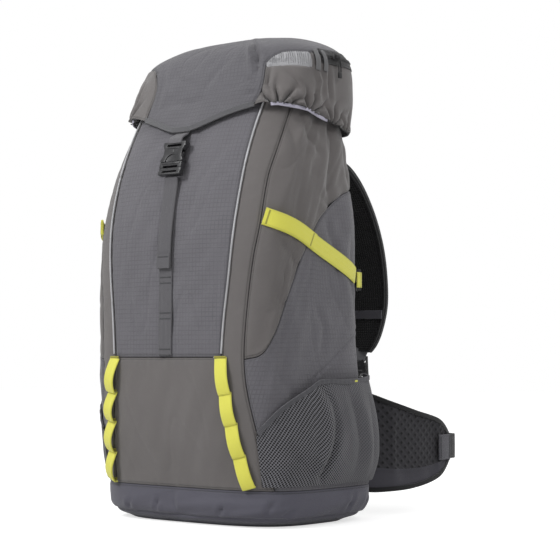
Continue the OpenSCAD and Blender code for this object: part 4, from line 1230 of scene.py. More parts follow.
def make_lid_side(side, word, flip):
    """Gathered side of the lid: pleats drawn together by the elastic in its lower edge."""
    u, v = meshgrid(linspace(0, 1, 120), linspace(0, 1, 64))
    corner, reach = FRONT_CORNER[side], LID_SIDE_END - GAP
    low_start, top_start = corner[1][1] + 0.3, corner[-1][1] + 0.3
    foot = lid_edge(low_start + (reach - low_start) * u)
    head = dome_foot((top_start + (reach - top_start) * u) * side) + 0.2
    z = foot + (head - foot) * v
    left = read(corner, z) + 0.3
    a = left + (reach - left) * u
    points = skin(LID, a, z)
    lay = Lay(points)
    x, y = (a - 80) * 2.8, z
    low = z - foot
    out = 2.6 * sin(np.pi * clip(u * 2.1, 0, 1)) ** 0.7 * sin(np.pi * clip(low / 62, 0, 1)) ** 0.8
    out += 1.2 * soft_noise(x, y, 40, 141) + 0.6 * soft_noise(x, y, 15, 142, 3, 1.2)
    for angle_at_hem, spread, strong, seed in ((58.5, 6.5, 1.0, 1), (74, 7.0, 0.9, 2), (91, 6.0, 0.8, 3),
            (104, 5.0, 0.5, 4)):
        base = float(lid_edge(angle_at_hem))
        gone_x, gone_y = x - (angle_at_hem - 80) * 2.8, y - base + 9
        spoke = hypot(gone_x, gone_y)
        fan = np.arctan2(gone_x, gone_y)
        waves = abs(sin(fan * 5.0 + 0.7 * seed + 0.6 * soft_noise(x, y, 18, 300 + seed)))
        fold = 1 - (1 - waves) ** 1.7 * 2.1
        strength = strong * exp(-((spoke - 15) / (11 + 1.2 * spread)) ** 2)
        out += 6.2 * strength * clip((1.6 - abs(fan)) * 3, 0, 1) * (fold - 0.15)
        out -= 4.0 * strong * exp(-((a - angle_at_hem) * 2.8 / 3.2) ** 2) * exp(-low / 4.5)
    out += creases(x, y, (([(-26.6, 630), (-27.4, 603), (-24, 580)], 4.2, 3.0),
        ([(-4, 630), (0, 611), (-1, 580)], -3.4, 3.4), ([(5, 640), (6, 612), (8, 584)], 3.4, 3.4),
        ([(-20, 622), (-14, 606), (-12, 592)], 2.0, 3.0)), 2.8)
    # fine ruffles of the strip under the zip seam
    ruffle = clip((z - 630) / 4, 0, 1) * (a < 73.5) * (side > 0)
    out = out * (1 - ruffle) + ruffle * (0.4 + 1.1 * sin(x * 2 * np.pi / 3.1 + 1.5 * soft_noise(x, y, 9, 7)))
    out -= 1.6 * bell(z - 630, 1.4) * (a < 74) * (side > 0)
    out -= 1.4 * exp(-(((a - 73.8) * 2.8) / 1.6) ** 2) * (z > 630) * (side > 0)
    out -= 1.1 * bell(lay.ends, 1.8) * (v > 0.5) + 1.1 * bell(lay.side, 1.8)
    points = raised(points, out)
    strip = (((z[:-1, :-1] + z[1:, 1:]) / 2 > 630) & (a[:-1, :-1] < 73.8) & (side > 0)).ravel()
    if side < 0:
        points, strip = mirror(points), strip.reshape(63, 119)[:, ::-1].ravel()
    soft = Soft().shell(points, 1.4)
    soft.paint[0] = where(strip, 2, 0)
    soft.make(f"lid_side_cloth_{word}", "lid", ["taupe", "inside", "ruffle"], [f"lid_side_{word}"],
        "taupe_cloth")
    # reflective elastic showing under the gathered edge
    soft = Soft()
    a = linspace(55, 88, 70)
    dip = 1.6 * abs(sin((a - 58) / 16 * np.pi)) - 1.0
    route = skin(LID, a, lid_edge(a) - 1.4 - dip, -0.6)
    add_strap(soft, route * flip, outward_at(LID, a, lid_edge(a)) * flip, 5.0, 1.6, 0)
    a = linspace(88, 111, 40)
    add_strap(soft, skin(LID, a, lid_edge(a) + 0.6, -0.6) * flip, outward_at(LID, a, lid_edge(a)) * flip,
        4.0, 2.0, 1)
    soft.make(f"lid_elastic_{word}", "lid", ["reflective_edge", "binding"], [f"lid_side_{word}"],
        "black_trim")


def make_lid_back():
    points, angle, z = patch(LID, LID_SIDE_END + GAP, 360 - LID_SIDE_END - GAP,
        lambda u: lid_edge(180 - abs(180 - (LID_SIDE_END + (360 - 2 * LID_SIDE_END) * asarray(u, float)))),
        645.5, 3)
    lay = Lay(points)
    Soft().shell(raised(points, sewn(lay, 151, swell=1.6)), 1.6).make("lid_back_cloth", "lid",
        ["ripstop", "inside"], ["lid_back"], "ripstop")

    # floor of the lid pocket
    angles = arange(0, 360, 3.0)
    rim = skin(LID, angles, 636.0, -5.5)
    hub = array([0, 30, 636.0])
    rings = stack([hub + (rim - hub) * k for k in linspace(0.03, 1, 30)])
    rings[..., 2] += soft_noise(rings[..., 0], rings[..., 1], 50, 161) * 0.8
    cloth = concatenate([rings[..., :2], rings[:, :1, :2]], 1)
    soft = Soft()
    soft.grid(rings, cloth, None, True, flip=False)
    soft.grid(rings + array([0, 0, 1.0]), cloth, None, True, flip=True)
    soft.grid(stack([rings[-1], rings[-1] + array([0, 0, 1.0])]), wrap=True)
    for lift, up_side in ((0.0, False), (1.0, True)):
        ring = rings[0] + array([0, 0, lift])
        middle = repeat(ring.mean(0)[None], len(ring), 0)
        soft.grid(stack([middle, ring]), repeat(cloth[:1], 2, 0), None, True, flip=up_side)
    soft.make("lid_floor_cloth", "lid", ["lining"], ["lid_floor"], "lining")

    # zip: two tapes and the closed coil between them
    soft = Soft()
    a = linspace(80, 280, 330)
    for middle, half in ((655.4, 4.6), (642.6, 4.6)):
        z = array([middle - half, middle, middle + half])[:, None]
        points = skin(LID, a[None], z + 0 * a[None], 1.4)
        lay = Lay(points)
        soft.shell(points, 0.8, lay=lay, inside=0)
    soft.make("lid_zip_tapes", "lid", ["zip_black"], ["lid_zip_tape"], "black_trim")
    soft = Soft()
    ripple = 0.45 * sin(arange(330) * 2.3)
    for height in (648.0, 650.0):
        add_tube(soft, skin(LID, a, height + 0 * a, 1.6 + ripple), 1.3, 6)
    soft.make("lid_zip_coil", "lid", ["zip_black"], ["lid_zip_tape"], "black_trim")

    # tape tabs at the end of the zip, one on each side
    soft = Soft()
    z = linspace(657.0, 626, 26)
    for _, _, flip in SIDES:
        for a0, wide in ((77.0, 8.5), (82.2, 8.0)):
            route = skin(LID, a0 + 0 * z, z, 3.4 + 0.8 * sin((z - 626) / 8))
            add_strap(soft, route * flip, outward_at(LID, a0 + 0 * z, z) * flip, wide, 1.4, 0, 0.5)
    soft.make("lid_zip_tabs", "lid", ["grey_binding"], ["lid_side_left", "lid_side_right"], "grey_webbing")


def make_tab_strap():
    soft = Soft()
    route = smooth_route([skin(LID, 0, 578, -5.0), skin(LID, 0, 560, -5.0), skin(LID, 0, 548, -5.0),
        skin(LID, 0, 541, -4.0), array([0, -114.6, 534]), array([0, -117.4, 526.5])], 2.2)
    add_strap(soft, route, [0, -1, 0], 25, 2.0, 0, 0.3)
    add_tack(soft, skin(LID, 0, 571, -3.9), [1, 0, 0], [0, -1, 0.3], 22, 2.4, 1)
    soft.make("lid_tab_web", "lid", ["tab_web", "dark_thread"], ["lid_tab_strap"], "grey_webbing")


# ---- inside the bag

def make_cord(name, route, radius, body, paints, node):
    """A limp cord along a route."""
    soft = Soft()
    add_tube(soft, route, radius, 8)
    piece = soft.make(name, body, paints, [node], "black_trim")
    long = float(np.linalg.norm(diff(route, axis=0), axis=1).sum())
    return piece


def make_inside():
    angles = arange(0, 360, 2.0)
    v = linspace(0, 1, 16)[:, None]
    z = 566 + 36.5 * v + 0 * angles
    waves = sin(radians(angles) * 34 + 1.4 * sin(radians(angles) * 5)) * 1.3
    points = skin(BAG, angles[None] + 0 * z, z, -5.2 - 10 * v**2 + waves[None] * v**1.5)
    collar = Soft().shell(points, 0.9, True, inside=0).make("collar_cloth", "root", ["lining", "lining"],
        ["collar"], "lining")
    girth = spans(concatenate([points[:1], points[:1, :1]], 1), 1)[0, -1]
    depth = spans(points, 0)[-1].mean()

    # drawcord: round the collar's edge, with its two ends hanging through the lock
    make_cord("collar_drawcord", skin(BAG, arange(5.0, 356, 3), 604.5, -16), 1.4, "root", ["binding"],
        "collar_cord")
    for side, word, flip in SIDES:
        route = smooth_route([[side * 2, -47, 604.5], [side * 2, -40, 600], [side * 2, -38, 590],
            [side * 2, -38, 542]], 1.5)
        knot = Soft()
        turn = radians(linspace(0, 360, 28, endpoint=False))
        wrap = stack([side * 2 + 1.1 * sin(turn), -38 + 1.1 * cos(turn), 546 + 1.0 * sin(2 * turn)], -1)
        add_tube(knot, wrap, 1.2, 8, True)
        knot = knot.make(f"drawcord_knot_{word}", "root", ["binding"], (), "black_trim")
        make_cord(f"drawcord_end_{word}", route, 1.4, "root", ["binding"], "collar_cord")

    points, angle, z = patch(BAG, 150, 210, 180, 500, 4)
    inner = skin(BAG, angle, z, -18 + 1.2 * soft_noise(angle * 2.6, z, 60, 171))
    sleeve = Soft().shell(inner, 0.9, inside=0).make("sleeve_cloth", "root", ["lining", "lining"],
        ["hydration_sleeve"], "lining")
    wide, tall = spans(inner, 1)[:, -1].mean(), spans(inner, 0)[-1].mean()


# ---- padded pieces

SHOULDER = array([[0, 69, 120, 514, 60, 10], [1, 72, 142, 505, 66, 12], [2, 76, 166, 480, 68, 12],
    [3, 80, 190, 440, 68, 12], [4, 84, 205, 395, 68, 12], [5, 87, 212, 350, 66, 12],
    [6, 88, 214, 305, 62, 12], [7, 86, 208, 265, 54, 11], [8, 83, 199, 237, 42, 9]], float)
WING = array([[0, 98, 152, 44, 170], [1, 120, 162, 34, 176], [2, 143, 195, 34, 163], [3, 155, 240, 38, 149],
    [4, 159, 285, 50, 137], [5, 157, 316, 72, 116]], float)


def settle_cloth(points, faces, pressure=3.0, still=None):
    """Lets a closed skin fill out as cloth, and gives back where its points came to."""
    mesh = bpy.data.meshes.new("settling")
    mesh.from_pydata((points * MM).tolist(), [], faces)
    trial = bpy.data.objects.new("settling", mesh)
    bpy.context.collection.objects.link(trial)
    hold = trial.vertex_groups.new(name="hold")
    hold.add([int(k) for k in np.nonzero(still)[0]], 1.0, "REPLACE")
    cloth = trial.modifiers.new("cloth", "CLOTH")
    cloth.settings.quality = 6
    cloth.settings.mass = 0.2
    cloth.settings.tension_stiffness = cloth.settings.compression_stiffness = 18
    cloth.settings.bending_stiffness = 0.6
    cloth.settings.use_pressure = True
    cloth.settings.uniform_pressure_force = pressure
    cloth.settings.vertex_group_mass = "hold"
    cloth.settings.effector_weights.gravity = 0
    cloth.point_cache.frame_start, cloth.point_cache.frame_end = 1, 16
    scene = bpy.context.scene
    for frame_number in range(1, 17):
        scene.frame_set(frame_number)
    found = trial.evaluated_get(bpy.context.evaluated_depsgraph_get())
    out = array([v.co[:] for v in found.data.vertices]) / MM
    scene.frame_set(1)
    bpy.data.objects.remove(trial)
    move = out - points
    size = np.linalg.norm(move, axis=1, keepdims=True)
    return points + move * minimum(1, 4.0 / maximum(size, 1e-6))


def pad_grid(front, back, wrap_points=5):
    """A closed pad as rings: its front face across, round one edge, back face, round the other."""
    def turn(a, b, bulge):
        t = linspace(0, 1, wrap_points + 2)[1:-1]
        return [(a * (1 - k) + b * k) + bulge * math.sin(math.pi * k) for k in t]
    side, other = unit(front[:, -1] - front[:, -2]), unit(front[:, 0] - front[:, 1])
    thick = np.linalg.norm(front[:, -1] - back[:, -1], axis=-1, keepdims=True)
    rings = [front[:, k] for k in range(front.shape[1])]
    rings += turn(front[:, -1], back[:, -1], side * thick * 0.35)
    rings += [back[:, k] for k in range(back.shape[1] - 1, -1, -1)]
    rings += turn(back[:, 0], front[:, 0], other * thick * 0.35)
    return stack(rings, 1)


def make_pad(name, node, front, back, side, body, paints, slot, pillow=1.2, seed=0, band=0.0):
    """A stitched foam pad between a front and a back face, filled out as cloth."""
    points = pad_grid(front, back)
    rows, count = points.shape[:2]
    across, along = spans(front, 1), spans(front, 0)
    width = across[:, -1:]
    edge = minimum(minimum(across, width - across), minimum(along, along[-1:] - along))
    corners = [(j * count + i, j * count + (i + 1) % count) for j in range(rows - 1)
        for i in range(count)]
    faces = [(a, b, b + count, a + count) for a, b in corners]
    still = zeros((rows, count), bool)
    still[0] = still[-1] = True
    still[:, front.shape[1] + 2] = still[:, -3] = True
    settled = settle_cloth(points.reshape(-1, 3), faces, 3.0, still.ravel()).reshape(points.shape)
    # stray wrinkles are eased out of the swelling, and the seams keep their line
    swelling = settled - points
    for _ in range(4):
        swelling = (np.roll(swelling, 1, 1) + 2 * swelling + np.roll(swelling, -1, 1)) / 4
        swelling[1:-1] = (swelling[:-2] + 2 * swelling[1:-1] + swelling[2:]) / 4
    points = points + swelling
    cols = front.shape[1]
    relief = pillow * grown(edge, 10) - 1.6 * bell(edge - 7.5, 1.3)
    if band:
        relief -= 2.2 * bell(across - band * width, 1.6)
    relief += soft_noise(across, along, 40, 200 + seed) * 0.7 + soft_noise(across, along, 14,
        201 + seed) * 0.25
    points[:, :cols] = raised(points[:, :cols], relief)
    round_ = spans(points, 1)
    cloth = stack([concatenate([round_, round_[:, -1:] + 4], 1) - width / 2,
        repeat(along[:, :1], count + 1, 1)], -1)
    edges = full(cloth.shape, 60.0)
    edges[:, :cols, 0] = maximum(edge - 7.5 + 2.8, 0)
    if side < 0:
        points = points * array([-1, 1, 1])
    soft = Soft()
    soft.grid(points, cloth, edges, True, 0, side < 0)
    in_rim = (arange(count) >= cols - 1) & (arange(count) < cols + 5)
    in_rim |= arange(count) >= count - 6
    soft.paint[0] = np.tile(where(in_rim, 1, where(arange(count) >= cols, 2, 0)), rows - 1)
    if band:
        low = concatenate([across / width < band, zeros((rows, count - cols), bool)], 1)[:-1]
        soft.paint[0] = where(low.ravel() & (soft.paint[0] == 0), 3, soft.paint[0])
    close_ends(soft, points, cloth, 1, (1, 0.5, 0), True)
    if side < 0:
        soft.faces[1:] = [f[:, ::-1] for f in soft.faces[1:]]
        for parts in (soft.cloth, soft.edges):
            parts[1:] = [c.reshape(-1, 4, 2)[:, ::-1].reshape(-1, 2) for c in parts[1:]]
    piece = soft.make(name, body, paints, [node], slot, sharp=70)
    return piece


def lofted(route, across, facing, width, thick, cols=22):
    """Front and back faces of a pad along a route, thinner towards its edges."""
    u = linspace(-1, 1, cols)
    plump = 0.5 * thick[:, None] * (0.62 + 0.38 * (1 - u[None] ** 4))
    flat = route[:, None] + across[:, None] * (u[None, :, None] * width[:, None, None] / 2)
    lift = facing[:, None] * plump[..., None]
    return flat + lift, flat - lift


ADJUSTER_SEAT = array([83, 194, 216.0])
ADJUSTER_LEAN, ADJUSTER_TURN = math.radians(-18), math.radians(45)


def make_shoulders():
    t = linspace(0, 8, 120)
    route = stack([read(SHOULDER, t, k) for k in (1, 2, 3)], -1)
    width, thick = read(SHOULDER, t, 4) - 3, read(SHOULDER, t, 5)
    ends = clip(minimum(t, 8 - t) / 0.35, 0, 1)
    width = width * (0.80 + 0.20 * sqrt(ends))
    way = unit(gradient(route, axis=0))
    across = repeat(array([[1.0, 0, 0]]), len(t), 0)
    facing = unit(cross(way, across))
    facing *= np.sign(facing[:, 1:2] + facing[:, 2:] * 0.5)
    front, back = lofted(route, -across, facing, width, thick)
    for side, word, flip in SIDES:
        body = f"shoulder_{word}"
        make_pad(f"shoulder_foam_{word}", f"shoulder_pad_{word}", front, back, side, body,
            ["harness", "binding", "air_mesh"], "harness_cloth", 0.9, 1)
        soft = Soft()
        for edge in (-1, 1):
            line = route + across * (edge * (width / 2 + 0.3))[:, None]
            add_strap(soft, line * flip, across * flip * edge, thick * 0.72 + 2.5, 2.2, 0, 0.4)
        # webbing ladder down the outer face of the strap
        lane = slice(20, 108)
        outer = (route + facing * (thick / 2 + 1.2)[:, None])[lane]
        add_strap(soft, outer * flip, facing[lane] * flip, 20, 1.6, 1, 0.2)
        for k in range(24, 106, 12):
            place = route[k] + facing[k] * (thick[k] / 2 + 2.2)
            add_tack(soft, place * flip, across[k], facing[k] * flip, 17, 2.4, 2)
        # grey band sewn across the wearer's side, near the lower end
        level = 60 + int(np.argmin(abs(route[60:, 2] - 292)))
        share = linspace(-0.5, 0.5, 20)[:, None]
        cross_band = (route[level] - facing[level] * (thick[level] / 2 + 1.6) + across[level] * share
            * (width[level] + 2))
        add_strap(soft, cross_band * flip, -facing[level] * flip, 13, 1.6, 3, 0.2)
        soft.make(f"shoulder_trim_{word}", body, ["binding", "black_web_narrow", "dark_thread",
            "wing_panel"], [f"shoulder_pad_{word}"], "black_webbing")
        make_adjuster(word, flip)


def make_adjuster(word, flip):
    """Webbing that hangs the turned adjuster from the end of the strap, round its top bar."""
    turn = array(Matrix.Rotation(ADJUSTER_TURN, 3, "Z") @ Matrix.Rotation(ADJUSTER_LEAN, 3, "X"))
    face, up = turn[:, 1], turn[:, 2]
    top = array([read(SHOULDER, 7.9, k) for k in (1, 2, 3)], float).reshape(3)
    bar, slot = ADJUSTER_SEAT + up * 13, ADJUSTER_SEAT + up * 8
    loop = array([top + face, bar + face * 3.6, slot + face * 3.0, slot, slot - face * 3.0,
        bar - face * 3.6, top - face])
    route = smooth_route(loop, 1.2)
    way = gradient(route, axis=0)
    normal = cross(way, turn[:, 0])
    soft = Soft()
    add_strap(soft, route * flip, normal * flip, 20, 1.5, 0)
    soft.make(f"adjuster_loop_{word}", f"shoulder_{word}", ["grey_web_narrow"], [f"strap_adjuster_{word}"],
        "grey_webbing")


BELT_Z, BELT_Y = 94, 350  # where the hip webbing and its buckle are


def make_wings():
    t = linspace(0, 5, 96)
    plan = stack([read(WING, t, 1), read(WING, t, 2), 0 * t], -1)
    low, high = read(WING, t, 3), read(WING, t, 4)
    way = unit(gradient(plan, axis=0))
    out = cross(way, [0, 0, 1.0])
    up = repeat(array([[0, 0, 1.0]]), len(t), 0)
    route = plan + up * ((low + high) / 2)[:, None]
    thick = 14.0 * (1 - 0.35 * clip((t - 4) / 1, 0, 1))
    width = (high - low) - 3
    width = width * (0.86 + 0.14 * sqrt(clip((5 - t) / 0.3, 0, 1)))
    front, back = lofted(route, up, out, width, thick, 30)
    for side, word, flip in SIDES:
        body = f"hip_{word}"
        make_pad(f"hip_foam_{word}", f"hip_wing_{word}", front, back, side, body,
            ["spacer", "binding", "air_mesh", "wing_band"], "harness_cloth", 1.4, 5, 0.24)
        soft = Soft()
        for edge in (-1, 1):
            line = route + up * (edge * (width / 2 - 1.4))[:, None]
            add_strap(soft, line * flip, up * edge, thick * 0.7 + 4, 6.0, 0, 0.4)
        end = route[-1] + way[-1] * 0.6
        add_strap(soft, stack([end + up[0] * h for h in linspace(-20, 20, 12)]) * flip, way[-1] * flip, 11,
            2.2, 0, 0.3)
        # webbing sewn on at the tip of the wing
        lane = slice(74, 95)
        mid = plan + out * (thick / 2 + 1.7)[:, None]
        add_strap(soft, (mid + array([0, 0, BELT_Z]))[lane] * flip, out[lane] * flip, 38, 1.8, 1, 0.2)
        for k in (76, 92):
            place = mid[k] + array([0, 0, BELT_Z]) + out[k] * 1.0
            add_tack(soft, place * flip, [0, 0, 1], out[k] * flip, 34, 2.6, 2, 0.7)
        soft.make(f"hip_trim_{word}", body, ["binding", "wing_panel", "dark_thread"], [f"hip_wing_{word}"],
            "black_webbing")

        soft = Soft()
        tail = ((156.5, 318), (156.3, 331), (153.5, 342), (146, 348.5), (131, BELT_Y), (104, BELT_Y))
        path = smooth_route([(x, y, BELT_Z) for x, y in tail])
        turn = gradient(path, axis=0)
        face = cross(turn, [0, 0, 1.0])
        add_strap(soft, path * flip, face * flip, 37, 1.8, 0, 0.2)
        fold = path[-14:] + array([0, 2.4, 0])
        add_strap(soft, fold * flip, array([0, 1.0, 0]), 36.5, 1.6, 0, 0.2)
        soft.make(f"hip_web_{word}", body, ["grey_web_wide"], [f"hip_webbing_{word}"], "black_webbing")


def make_back_padding():
    def face(x0, x1, z0, z1, thick, power_x, power_z, cols, rows):
        x, z = meshgrid(linspace(x0, x1, cols), linspace(z0, z1, rows))
        angle = 180 - degrees(np.arctan(x / (read(BAG, z, 3) - 5)))
        u, v = (x - x0) / (x1 - x0), (z - z0) / (z1 - z0)
        plump = ((1 - abs(2 * u - 1) ** power_x) * (1 - abs(2 * v - 1) ** power_z)) ** 0.5
        return skin(BAG, angle, z, 3.4 + (thick - 1) * plump), skin(BAG, angle, z, 2.2)
    for side, word, flip in SIDES:
        front, back = face(95, 24, 217, 466, 10.5, 4, 8, 26, 84)
        make_pad(f"back_foam_{word}", "back_pads", front, back, side, "root",
            ["air_mesh", "binding", "harness"], "harness_cloth", 0.8, 11)
    front, back = face(80, -80, 64, 190, 17.5, 6, 4, 52, 44)
    make_pad("lumbar_foam", "lumbar_pad", front, back, 1, "root", ["spacer", "binding", "harness"],
        "harness_cloth", 0.9, 17)
    points, angle, z = patch(BAG, 180 - 38, 180 + 38, 483, 541, 3)
    points = skin(BAG, 180 - degrees(np.arctan(linspace(110, -110, points.shape[1])[None]
        / (read(BAG, z, 3) - 5))), z, 3.0)
    lay = Lay(points)
    Soft().shell(raised(points, sewn(lay, 181, swell=0.4)), 1.8, inside=0).make("yoke_cloth", "root",
        ["harness"], ["strap_yoke"], "harness_cloth")

    soft = Soft()
    a = linspace(0, 180, 50)
    lift = sin(radians(a))
    route = stack([-27 * cos(radians(a)), 112.2 + 30 * lift, 515 + 0 * a], -1)
    facing = stack([-cos(radians(a)), lift, 0 * a], -1)
    add_strap(soft, route, facing, 25, 2.0, 0, 0.3)
    for s in (-1, 1):
        for h in (-8, 8):
            add_tack(soft, [s * 28.5, 114.5, 515 + h], [0, 1, 0], [s, 0.1, 0], 4, 2.2, 1)
    soft.make("haul_loop_web", "root", ["grey_web", "dark_thread"], ["haul_loop"], "grey_webbing")


def make_joins():
    """Cloth at the joints: behind the lid, at the straps' roots and the wings' roots."""
    v = linspace(0, 1, 16)[:, None, None]
    a = linspace(142, 218, 70)
    low, high = skin(BAG, a, 536.0, 1.2)[None], skin(LID, a, 562.0, -3.0)[None]
    sheet = low * (1 - v) + high * v + outward_at(BAG, a, 536.0)[None] * 3.0 * sin(np.pi * v)
    piece = Soft().shell(sheet, 1.2, inside=0).make("lid_hinge_cloth", "root", ["base"], (), "ripstop",
        ride=False)
    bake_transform(piece)
    for side, word, flip in SIDES:
        route = smooth_route([[68, 112.5, 498], [68.5, 116, 508], [69.5, 122, 515.5], [71, 131, 512],
            [73, 143, 503]], 2.0)
        facing = stack([0 * route[:, 0], 0.6 + 0 * route[:, 0], linspace(0.3, 0.8, len(route))], -1)
        soft = Soft()
        add_strap(soft, route * flip, facing, 52, 3.0, 0, 0.3)
        piece = soft.make(f"strap_root_{word}", "root", ["harness"], (), "harness_cloth", ride=False)
        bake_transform(piece)
        route = smooth_route([[137, 112, 187], [130, 127, 189.5], [113, 157, 193], [97, 177, 196],
            [88.5, 188, 201], [84, 193.5, 212], [82, 191, 222]], 2.0)
        twist = radians(linspace(30, 135, len(route)))
        facing = stack([cos(twist), sin(twist), 0 * twist], -1)
        soft = Soft()
        add_strap(soft, route * flip, facing * flip, 20, 1.8, 0)
        piece = soft.make(f"lower_web_{word}", "root", ["black_web_narrow"], ["lower_webbing"],
            "black_webbing", ride=False)
        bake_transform(piece)
        plan = stack([read(WING, linspace(0, .9, 14), k) for k in (1, 2)], -1)
        plan = concatenate([[[70, 140.0], [84, 146.0]], plan])
        up = linspace(52, 160, 30)[:, None]
        sheet = stack(broadcast_arrays(plan[None, :, 0], plan[None, :, 1], up), -1)
        sheet = sheet + square_to(sheet)
        sheet = sheet if side > 0 else mirror(sheet)
        piece = Soft().shell(sheet, 3.0, inside=0).make(f"wing_root_{word}", "root", ["harness"], (),
            "harness_cloth", ride=False)
        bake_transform(piece)


# ---- moulded fittings

QUARTER = math.pi / 2
ALONG_X, ALONG_Y = (0, QUARTER, 0), (QUARTER, 0, 0)


def applied():
    bpy.ops.object.transform_apply(location=True, rotation=True, scale=True)
    return bpy.context.object


def box(size, place):
    """A block in millimetres, to be carved."""
    bpy.ops.object.select_all(action="DESELECT")
    bpy.ops.mesh.primitive_cube_add(size=1, location=[c * MM for c in place])
    bpy.context.object.scale = [c * MM for c in size]
    return applied()


def rod(radius, length, place, turn=ALONG_Y, sides=40):
    bpy.ops.object.select_all(action="DESELECT")
    bpy.ops.mesh.primitive_cylinder_add(vertices=sides, radius=radius * MM, depth=length * MM,
        location=[c * MM for c in place], rotation=turn)
    return applied()


def carve(first, cuts=(), joins=(), bevel=0.7, segments=3):
    """Joins solids on to the first, cuts others out of it, and rounds its edges."""
    for tools, operation in ((joins, "UNION"), (cuts, "DIFFERENCE")):
        for tool in tools:
            step = first.modifiers.new("step", "BOOLEAN")
            step.operation, step.object, step.solver = operation, tool, "EXACT"
            bpy.context.view_layer.objects.active = first
            bpy.ops.object.modifier_apply(modifier=step.name)
            bpy.data.objects.remove(tool)
    if bevel:
        step = first.modifiers.new("round", "BEVEL")
        step.width, step.segments, step.limit_method, step.angle_limit = (bevel * MM, segments, "ANGLE",
            math.radians(35))
        step.harden_normals = False
        bpy.context.view_layer.objects.active = first
        bpy.ops.object.modifier_apply(modifier=step.name)
    return first


def block(size, place, bevel):
    return carve(box(size, place), bevel=bevel)


def together(parts):
    bpy.ops.object.select_all(action="DESELECT")
    for part in parts:
        part.select_set(True)
    bpy.context.view_layer.objects.active = parts[0]
    bpy.ops.object.join()
    return parts[0]


def hard(piece, name, body, nodes, paint, lean=0.0, place=(0, 0, 0), flip=1, turn=0.0):
    """Finishes a moulded piece: paint, place and body."""
    piece.name = piece.data.name = name
    piece.data.materials.clear()
    piece.data.materials.append(PAINTS[paint])
    move = (Matrix.Translation(Vector(place) * MM) @ Matrix.Rotation(turn, 4, "Z")
        @ Matrix.Rotation(math.radians(lean), 4, "X"))
    piece.data.transform(move)
    if flip < 0:
        piece.data.transform(Matrix.Diagonal((-1, 1, 1, 1)))
        piece.data.flip_normals()
    piece.data.polygons.foreach_set("use_smooth", [True] * len(piece.data.polygons))
    piece.data.set_sharp_from_angle(angle=math.radians(38))
    return settle(piece, body, nodes)


def make_front_buckle():
    socket = box((41, 9, 29), (0, 0, 14.8))
    carve(socket, cuts=[rod(15, 30, (31.5, 0, 13.5)), rod(15, 30, (-31.5, 0, 13.5)),
        box((27, 30, 3.4), (0, 0, 24.0)), box((35, 5.2, 19), (0, 0, 8.5)), rod(11.5, 8, (0, -7.2, -0.5))],
        bevel=0.8)
    rib, spine = block((24, 1.0, 1.6), (0, -4.6, 20.2), 0.3), block((4.5, 1.2, 6), (0, -4.5, 15.5), 0.4)
    hard(together([socket, rib, spine]), "front_socket", "lid", ["buckle_socket"], "buckle_grey",
        lean=-17.5, place=(0, -121.5, 499))
    plug = box((41, 8, 18.6), (0, 0, -9.7))
    carve(plug, cuts=[box((28, 30, 3.2), (0, 0, -7.6)), box((28, 30, 3.2), (0, 0, -14.8)),
        box((50, 3, 5), (0, -4.6, -11.3))], bevel=0.9)
    parts = [plug]
    for x, wide in ((-14.5, 5), (0, 4.4), (14.5, 5)):
        parts.append(block((wide, 3.8, 16), (x, 0, 6.6), 0.8))
    for s in (-1, 1):
        parts.append(block((4.4, 3.8, 4.6), (s * 15.4, 0, 12.2), 0.9))
    parts.append(block((33, 1.6, 3), (0, -4.0, -2.6), 0.5))
    hard(together(parts), "front_plug", "front_strap", ["buckle_plug"], "buckle_grey", lean=-17.5,
        place=(0, -121.5, 499))


def make_ladder(name, size, gaps, place, body, nodes, side=1, lean=0.0, turn=0.0, paint="plastic"):
    """A flat ladder frame that webbing is laced through; gaps are (height, middle) of its openings."""
    wide, thick, tall = size
    frame_piece = box((wide, thick, tall), (0, 0, 0))
    carve(frame_piece, cuts=[box((wide - 7, 30, gap), (0, 0, at)) for gap, at in gaps], bevel=0.9)
    return hard(frame_piece, name, body, nodes, paint, lean=lean, place=place, flip=side, turn=turn)


def make_strap_tip(word, flip):
    """The side strap's folded end, round the outer bar of its buckle."""
    soft = Soft()
    angle = array([115.0, 117, 119.5, 121.5])
    lift = array([4.5, 8.5, 9.6, 8.6])
    out = outward_at(BAG, angle, 338.0 + 0 * angle)
    route = smooth_route(skin(BAG, angle, 338.0 + 0 * angle) + out * lift[:, None], 1.5)
    add_strap(soft, route * flip, out[1] * flip, 22, 1.7, 0)
    soft.make(f"side_strap_tip_{word}", "root", ["lime"], [f"compression_strap_{word}"], "lime_webbing")


def make_fittings():
    make_front_buckle()
    # side strap buckles stand behind the side straps
    for side, word, flip in SIDES:
        make_strap_tip(word, flip)
        seat = skin(BAG, 120, 338.0, 5.0)
        make_ladder(f"side_lock_{word}", (22, 6, 30), [(5.5, 7.5), (5.5, -6)], seat, "root",
            ["compression_buckles"], side, turn=math.radians(130))
        make_ladder(f"adjuster_frame_{word}", (28, 4, 30), [(5.5, 8), (5.5, -3.5), (2.2, -10.5)],
            ADJUSTER_SEAT, f"shoulder_{word}", [f"strap_adjuster_{word}"], side, lean=-18,
            turn=ADJUSTER_TURN)
        glide = box((20, 7, 50), (0, 0, 0))
        carve(glide, cuts=[box((4.6, 30, 40.5), (s * 4.8, 0, 0)) for s in (-1, 1)], bevel=1.4)
        hard(glide, f"glide_frame_{word}", f"hip_{word}", [f"hip_triglide_{word}"], "plastic",
            place=(122, BELT_Y, BELT_Z), flip=side)
        make_sternum(side, word, flip)
    make_hip_buckle()
    make_zip_and_cord()


